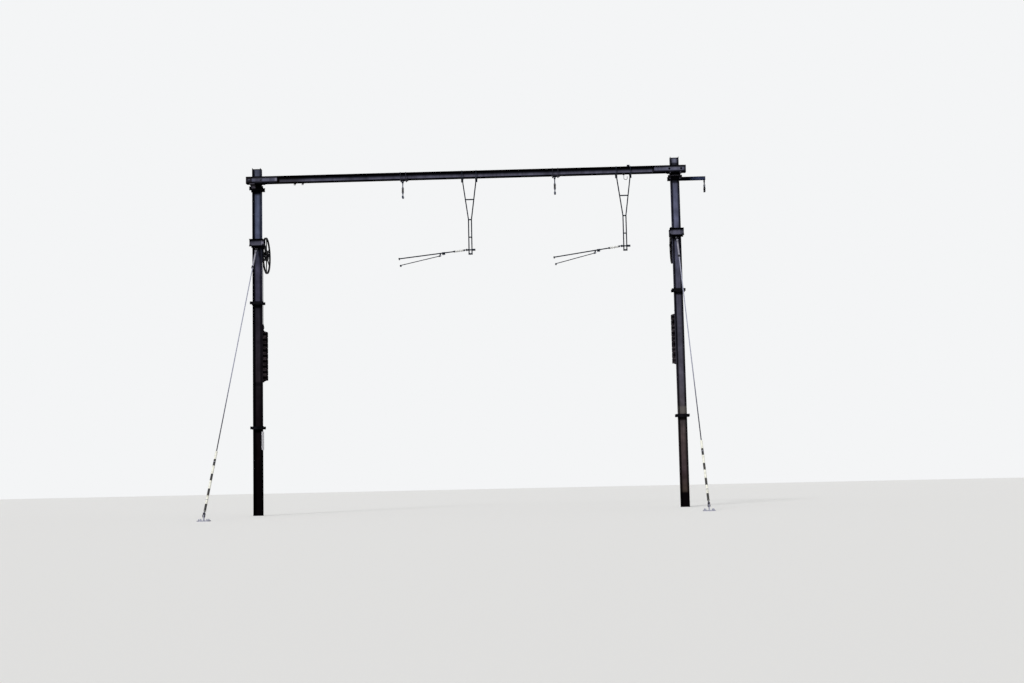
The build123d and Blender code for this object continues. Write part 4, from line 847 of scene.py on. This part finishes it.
insulators = []
for side in sides:
    insulators += [(side + "_registration", registrationValues, armPivot[side], armAxis[side]),
                   (side + "_messenger", messengerValues, messengerPin[side], plumb)]
insulators.append(("feeder", feederValues, feederPin, plumb))
for body, values, pin, axis in insulators:
    start = pin + axis * values["start"]
    core = values["core"]
    model = turnPiece(shedRings(values["length"], values["sheds"], core, values["rim"]), segments=40)
    title = body.replace("_", " ").title().replace(" ", "") + "Insulator"
    piece = placeCopies(model, title + "Sheds", [standAt(start, axis)], body, values["slot"])
    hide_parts(body + "_insulator")
    sunk = cementValues["sunk"]
    thick = cementValues["thick"]
    outer = core + cementValues["out"]
    joint = turnPiece([(sunk, core * 0.9), (sunk, outer), (thick, outer - cementValues["chamfer"]),
                       (thick, core * 0.9)], segments=28, closed=True)
    spots = [standAt(start, axis), standAt(start + axis * values["length"], -axis)]
    placeCopies(joint, title + "Cement", spots, body)
    dropModel(model, joint)
print("insulators turned")


# guys: lock nuts, ferrule bands, pin heads and split pins, at distances from the upper pin
guyValues = {"pinY": -0.140, "pinZ": 6.605, "footY": -5.590, "footZ": 0.110, "length": 8.4787,
             "headOut": 0.0223, "splitOut": 0.0268, "turnbuckleNut": 0.075, "rodNuts": (0.720, 8.3877),
             "turnbuckleBands": (0.110, 0.600, 0.628), "couplingBands": (0.650, 0.680, 0.710)}
guyRun = (0, guyValues["footY"] - guyValues["pinY"], guyValues["footZ"] - guyValues["pinZ"])
guyAxis = Vector(guyRun).normalized()


def alongGuy(side, distance):
    return Vector((mastX[side], guyValues["pinY"], guyValues["pinZ"])) + guyAxis * distance


def guySpots(side, distances):
    return [standAt(alongGuy(side, distance), guyAxis) for distance in distances]


def splitPin(length):
    # two legs in one shank, an eye at the head, the tips spread
    half = length / 2
    shank = turnPiece([(-half, 0.0014), (-half, 0.0022), (half, 0.0022), (half, 0.0014)], segments=10)
    clearSelection()
    bpy.ops.mesh.primitive_torus_add(major_radius=0.0042, minor_radius=0.0016, major_segments=16,
                                     minor_segments=8, location=(0, 0, half + 0.004),
                                     rotation=(math.pi / 2, 0, 0))
    eye = bpy.context.object
    bpy.ops.object.transform_apply()
    startEdit()
    bpy.ops.transform.resize(value=(1, 1, 1.25), center_override=(0, 0, half + 0.004))
    bpy.ops.object.mode_set(mode="OBJECT")
    legs = [moveMesh(turnPiece([(0, 0.0016), (0.008, 0.0016), (0.009, 0.0010)], segments=8),
                     standAt((0, 0, -half), (hand * 0.5, 0, -1))) for hand in hands]
    return joinPieces([shank, eye] + legs)


pinHead = turnPiece([(-0.001, 0.0115), (-0.001, 0.017), (0.0035, 0.018), (0.0050, 0.0165), (0.0062, 0.0115)],
                    segments=24)
pinWasher = flatRing(-0.0005, 0.0022, 0.0115, 0.019, 24)
guySplit = splitPin(0.034)
turnbuckleNut = hexNut(0.0185, 0.028, 0.020)
rodNut = hexNut(0.0118, 0.0215, 0.016)
turnbuckleBand = bandPiece(0.0185, 0.0205, 0.0215, 0.014, 0.002)
couplingBand = bandPiece(0.0285, 0.0305, 0.0315, 0.010, 0.0015)
for side in sides:
    pins = [alongGuy(side, 0), alongGuy(side, guyValues["length"])]
    headOut = Vector((guyValues["headOut"], 0, 0))
    splitOut = Vector((guyValues["splitOut"], 0, 0))
    placeCopies(pinHead, side + "GuyPinHeads", [standAt(pin + headOut, (1, 0, 0)) for pin in pins])
    placeCopies(pinWasher, side + "GuyPinWashers", [standAt(pin - headOut, (-1, 0, 0)) for pin in pins])
    placeCopies(guySplit, side + "GuySplitPins", [standAt(pin - splitOut) for pin in pins])
    placeCopies(turnbuckleNut, side + "TurnbuckleNut", guySpots(side, [guyValues["turnbuckleNut"]]))
    placeCopies(turnbuckleBand, side + "TurnbuckleBands", guySpots(side, guyValues["turnbuckleBands"]))
    spots = guySpots(side, guyValues["couplingBands"])
    placeCopies(couplingBand, side + "CouplingBands", spots, slot="dark_steel")
    placeCopies(rodNut, side + "GuyRodNuts", guySpots(side, guyValues["rodNuts"]))
dropModel(pinHead, pinWasher, guySplit, turnbuckleNut, rodNut, turnbuckleBand, couplingBand)
print("guys dressed")


# guards: rolled end caps and two hose clips
guardValues = {"start": 6.7027, "length": 1.648, "radius": 0.025, "clipIn": 0.30}
radius = guardValues["radius"]
endCap = turnPiece([(-0.002, 0.0130), (-0.002, 0.022), (0.0, radius + 0.0016), (0.016, radius + 0.0016),
                    (0.018, radius + 0.0002), (0.018, radius - 0.002), (0.001, radius - 0.002),
                    (0.001, 0.0130)], closed=True)
clip = turnPiece([(-0.006, radius - 0.0005), (-0.006, radius + 0.0010), (-0.0045, radius + 0.0014),
                  (0.0045, radius + 0.0014), (0.006, radius + 0.0010), (0.006, radius - 0.0005)], closed=True)
clipScrew = moveMesh(turnPiece([(-0.009, 0.0040), (0.006, 0.0040), (0.006, 0.0055), (0.011, 0.0055),
                                (0.012, 0.0045)], segments=12), standAt((0, radius + 0.004, 0), (1, 0, 0)))
clip = joinPieces([clip, clipScrew])
for side in sides:
    first = guardValues["start"]
    last = first + guardValues["length"]
    spots = [standAt(alongGuy(side, first), guyAxis), standAt(alongGuy(side, last), -guyAxis)]
    placeCopies(endCap, side + "GuardCaps", spots, slot="guard")
    spots = guySpots(side, (first + guardValues["clipIn"], last - guardValues["clipIn"]))
    placeCopies(clip, side + "GuardClips", spots)
dropModel(endCap, clip)

# guy feet: four studs with nuts and washers through each plate, and welds along the lug
footValues = {"studReach": 0.085, "plateTop": 0.020, "lugHalf": 0.011, "weldStart": -0.030, "weldZ": 0.0215}
footStud = joinPieces([
    turnPiece([(0.0, 0.0095), (0.040, 0.0095), (0.0412, 0.0103), (0.0434, 0.0095), (0.0456, 0.0103),
               (0.0478, 0.0095), (0.050, 0.0103), (0.0522, 0.0095), (0.054, 0.0078)], segments=18),
    moveMesh(bandPiece(0.0097, 0.0215, 0.0225, 0.004, 0.001), standAt((0, 0, footValues["plateTop"]))),
    moveMesh(hexNut(0.0094, 0.0185, 0.016), standAt((0, 0, footValues["plateTop"] + 0.004)))])
footBead = weldBead(0.060)
reach = footValues["studReach"]
for side in sides:
    # each stud's nut stands at its own angle
    spots = [standAt((mastX[side] + x, guyValues["footY"] + y, 0), (0, 0, 1), x * 7 + y * 3)
             for x in (-reach, reach) for y in (-reach, reach)]
    placeCopies(footStud, side + "FootStuds", spots)
    y = guyValues["footY"] + footValues["weldStart"]
    spots = [standAt((mastX[side] + hand * footValues["lugHalf"], y, footValues["weldZ"]), back)
             for hand in hands]
    placeCopies(footBead, side + "FootWelds", spots)
dropModel(footStud, footBead)
print("guards and guy feet finished")


# hangers: bolts at the cross bars, thread tails under the strap nuts, swivel nuts
# crossBars = (distance from the hanger's middle, height)
hangerValues = {"x": {"left": 5.343, "right": 9.167}, "front": -0.214, "rear": -0.186, "strapLeg": 0.0945,
                "strapSpread": 0.175, "strapFoot": 8.2045, "swivelHalf": 0.0206,
                "crossBars": ((0.104, 7.6935), (0.0365, 7.1885), (0.0365, 6.7485)),
                "bracketX": (3.685, 7.465), "bracketStraps": (-0.050, 0.085), "boltTurns": (0.3, 0.7)}
barBolt = joinPieces([
    flatRing(0, 0.0018, 0.004, 0.0118, 24),
    turnPiece([(0.0015, 0.0085), (0.0018, 0.0098), (0.0072, 0.0098), (0.0085, 0.0080)], segments=6)])
strapTail = turnPiece(threadRings(0, 0.0024, 4, 0.0066, 0.0074) + [(0.011, 0.0055)], segments=16)
swivelNut = turnPiece([(-0.0005, 0.0105), (0, 0.0140), (0.001, 0.0150), (0.0068, 0.0150), (0.0078, 0.0135)],
                      segments=6)


def strapSpots(places):
    # the two legs of the strap round the beam at each place along it
    return [standAt((x, beamValues["y"] + leg * hangerValues["strapLeg"], hangerValues["strapFoot"]), down)
            for x in places for leg in hands]


for side in sides:
    x = hangerValues["x"][side]
    heads = [(x + hand * reach, z) for reach, z in hangerValues["crossBars"] for hand in hands]
    frontTurn, rearTurn = hangerValues["boltTurns"]
    spots = [standAt((headX, hangerValues["front"], headZ), forward, frontTurn) for headX, headZ in heads]
    spots += [standAt((headX, hangerValues["rear"], headZ), back, rearTurn) for headX, headZ in heads]
    placeCopies(barBolt, side + "HangerBolts", spots, slot="arm_steel")
    places = [x + hand * hangerValues["strapSpread"] for hand in hands]
    placeCopies(strapTail, side + "StrapTails", strapSpots(places))
    swivel = Vector((0, 0, hangerValues["swivelHalf"]))
    spots = [standAt(armPivot[side] + swivel), standAt(armPivot[side] - swivel, down)]
    placeCopies(swivelNut, side + "SwivelNuts", spots)
places = [pinX + step for pinX in hangerValues["bracketX"] for step in hangerValues["bracketStraps"]]
placeCopies(strapTail, "messengerStrapTails", strapSpots(places))
dropModel(barBolt, strapTail, swivelNut)
print("hangers bolted")


# registration and steady arms: clamp bolts, end eye, pin heads, clip bolts; distances along the arm's axis
armValues = {"clampStart": 0.538, "clampBolts": (0.020, 0.054), "clampSag": 0.014, "clampHalf": 0.028,
             "clampGap": 0.018, "eye": 1.682, "eyeSag": 0.020, "bands": (0.324, 0.505, 0.613),
             "pivotAlong": 0.660, "pivotBelow": 0.062, "pinReach": 0.0144, "steadyLength": 1.010,
             "clipDrop": 0.008, "clipReach": 0.017, "clipGap": 0.014}
steadySlope = {"left": math.radians(12.1), "right": math.radians(14.0)}
clampBolt = joinPieces([
    flatRing(0, 0.0016, 0.004, 0.0100, 20),
    turnPiece([(0.001, 0.0070), (0.0016, 0.0086), (0.0066, 0.0086), (0.0078, 0.0070)], segments=6)])
endEye = coilPiece(0.013, 0.0042, 0, 1, 28)
armPinHead = turnPiece([(-0.0006, 0.0078), (-0.0006, 0.0118), (0.0028, 0.0122), (0.0038, 0.0105),
                        (0.0042, 0.0070)], segments=20)
tubeBand = bandPiece(0.0136, 0.0150, 0.0158, 0.012, 0.001, 24)
for side in sides:
    axis = armAxis[side]
    below = Vector((math.sin(armSlope[side]), 0, -math.cos(armSlope[side])))
    pivot = armPivot[side]
    body = side + "_registration"
    half = below * armValues["clampHalf"]
    spots = []
    for along in armValues["clampBolts"]:
        middle = pivot + axis * (armValues["clampStart"] + along) + below * armValues["clampSag"]
        for hand in hands:
            cross = Vector((0, hand * armValues["clampGap"], 0))
            spots += [standAt(middle + half + cross, below), standAt(middle - half + cross, -below)]
    placeCopies(clampBolt, side + "ArmClampBolts", spots, body)
    eyePlace = pivot + axis * armValues["eye"] + below * armValues["eyeSag"]
    placeCopies(endEye, side + "ArmEndEye", [standAt(eyePlace, back)], body, "arm_steel")
    spots = [standAt(pivot + axis * distance, axis) for distance in armValues["bands"]]
    placeCopies(tubeBand, side + "ArmBands", spots, body, "arm_steel")
    body = side + "_steady"
    steadyPin = pivot + axis * armValues["pivotAlong"] + below * armValues["pivotBelow"]
    placeCopies(armPinHead, side + "SteadyPinHeads", pinHeadSpots(steadyPin, armValues["pinReach"]), body)
    steadyAxis = Vector((-math.cos(steadySlope[side]), 0, -math.sin(steadySlope[side])))
    clipPlace = steadyPin + steadyAxis * armValues["steadyLength"] + plumb * armValues["clipDrop"]
    spots = clampBoltSpots(clipPlace, armValues["clipReach"], armValues["clipGap"])
    placeCopies(clampBolt, side + "ClipBolts", spots, body)
dropModel(endEye, armPinHead, tubeBand)
print("arms finished")


# hanging sets of the messenger and feeder insulators: pin heads, clamp bolts, keepers and neck rings
setValues = {"pinReach": 0.0164, "clampFace": 0.019, "clampTop": 0.366, "clampHeight": 0.056,
             "boltShare": 0.36, "boltGap": 0.040, "keeperIn": 0.006, "necks": (0.060, 0.118, 0.330),
             "feederFace": 0.020, "feederBolts": 0.195, "feederGap": 0.036, "feederNeck": 0.058}
setPinHead = turnPiece([(-0.0006, 0.0088), (-0.0006, 0.0145), (0.0028, 0.0150), (0.0038, 0.0130),
                        (0.0042, 0.0080)], segments=24)
keeper = blockPiece((0.046, 0.030, 0.010), 0.002)
neckRing = bandPiece(0.0126, 0.0160, 0.0172, 0.008, 0.002, 24)
gap = setValues["boltGap"]
for side in sides:
    pin = messengerPin[side]
    body = side + "_messenger"
    placeCopies(setPinHead, side + "MessengerPinHeads", pinHeadSpots(pin, setValues["pinReach"]), body)
    middle = pin + plumb * (setValues["clampTop"] + setValues["clampHeight"] * setValues["boltShare"])
    spots = clampBoltSpots(middle, setValues["clampFace"], gap)
    placeCopies(clampBolt, side + "MessengerClampBolts", spots, body)
    low = pin + plumb * (setValues["clampTop"] + setValues["clampHeight"] - setValues["keeperIn"])
    spots = [standAt(low + Vector((0, y, 0))) for y in (-gap, gap)]
    placeCopies(keeper, side + "MessengerKeepers", spots, body)
    spots = [standAt(pin + plumb * distance, down) for distance in setValues["necks"]]
    placeCopies(neckRing, side + "MessengerNeckRings", spots, body)
middle = feederPin + plumb * setValues["feederBolts"]
spots = clampBoltSpots(middle, setValues["feederFace"], setValues["feederGap"])
placeCopies(clampBolt, "feederClampBolts", spots, "feeder", "dark_steel")
spots = [standAt(feederPin + plumb * setValues["feederNeck"], down)]
placeCopies(neckRing, "feederNeckRing", spots, "feeder", "dark_steel")
dropModel(clampBolt, setPinHead, keeper, neckRing)
print("hanging sets finished")


# number plate: rolled rim and four round screws, the face left bare
plateValues = {"x": 0.119, "z": 1.835, "width": 0.250, "height": 0.450, "rim": 0.007, "thick": 0.003,
               "roll": 0.001, "sunk": 0.0005, "screwY": 0.090, "screwZ": 0.150}
clearSelection()
bpy.ops.mesh.primitive_plane_add(size=1)
rimModel = bpy.context.object
startEdit()
bpy.ops.transform.resize(value=(plateValues["width"], plateValues["height"], 1))
bpy.ops.mesh.inset(thickness=plateValues["rim"])
bpy.ops.mesh.delete(type="ONLY_FACE")
bpy.ops.object.mode_set(mode="OBJECT")
wall = rimModel.modifiers.new("wall", "SOLIDIFY")
wall.thickness = plateValues["thick"]
wall.offset = 1
bpy.ops.object.modifier_apply(modifier=wall.name)
roll = rimModel.modifiers.new("roll", "BEVEL")
roll.width = plateValues["roll"]
roll.segments = 2
bpy.ops.object.modifier_apply(modifier=roll.name)
bpy.ops.object.shade_smooth_by_angle(angle=math.radians(35))
facing = Matrix(((0, 0, 1), (1, 0, 0), (0, 1, 0))).to_4x4()
spots = [Matrix.Translation((plateValues["x"] - plateValues["sunk"], 0, plateValues["z"])) @ facing]
placeCopies(rimModel, "numberPlateRim", spots, slot="white_paint")
screw = turnPiece([(-0.001, 0.0070), (0.0008, 0.0070), (0.0024, 0.0058), (0.0032, 0.0030), (0.0034, 0.0008)],
                  segments=18)
middle = Vector((plateValues["x"], 0, plateValues["z"]))
spots = [standAt(middle + Vector((0, across * plateValues["screwY"], up * plateValues["screwZ"])), (1, 0, 0))
         for across in hands for up in hands]
placeCopies(screw, "numberPlateScrews", spots)
dropModel(rimModel, screw)
print("number plate rimmed")


# stage: a pale floor in an even pale surround. Camera and mirror rays see them pale, and the light
# they give the object is held lower, so that undersides stay dark.
stageValues = {"floorSize": 600.0, "floorPlace": (5.0, 0.0, 0.0), "floorRough": 0.9, "floorSeen": "#e9e8e6",
               "floorGlow": "#5c5955", "sky": "#f4f5f6", "skyGlow": 0.62}


def seenDirectly(tree):
    rays = addNode("LightPath", tree=tree).outputs
    seen = compute("MAXIMUM", rays["Is Camera Ray"], rays["Is Glossy Ray"])
    return compute("MAXIMUM", seen, rays["Is Transmission Ray"])


clearSelection()
bpy.ops.mesh.primitive_plane_add(size=stageValues["floorSize"], location=stageValues["floorPlace"])
floor = bpy.context.object
floor.name = "floor"
floorMaterial = newMaterial("paleFloor")[0]
floorTree = floorMaterial.node_tree
floorTone = mixColour(seenDirectly(floorTree), stageValues["floorGlow"], stageValues["floorSeen"])
fillInputs(floorTree.nodes["Principled BSDF"],
           {"Base Color": floorTone, "Roughness": stageValues["floorRough"]})
floor.data.materials.append(floorMaterial)

world = bpy.data.worlds.new("paleStudio")
bpy.context.scene.world = world
world.use_nodes = True
worldTree = world.node_tree
worldTree.nodes.clear()
strength = spread(seenDirectly(worldTree), 0.0, 1.0, stageValues["skyGlow"], 1.0)
background = addNode("Background", None, {"Color": stageValues["sky"], "Strength": strength})
addNode("OutputWorld", None, {"Surface": background.outputs[0]})

# one large soft lamp behind the camera's left shoulder, low enough that the beam's flange shades its web
lampValues = {"energy": 1.88, "angle": 12.0, "direction": (0.30, 0.80, -0.56)}
lampData = bpy.data.lights.new("softLamp", "SUN")
lampData.energy = lampValues["energy"]
lampData.angle = math.radians(lampValues["angle"])
lamp = bpy.data.objects.new("softLamp", lampData)
bpy.context.scene.collection.objects.link(lamp)
lamp.rotation_euler = Vector(lampValues["direction"]).to_track_quat("-Z", "Y").to_euler()
print("stage and lamp placed")
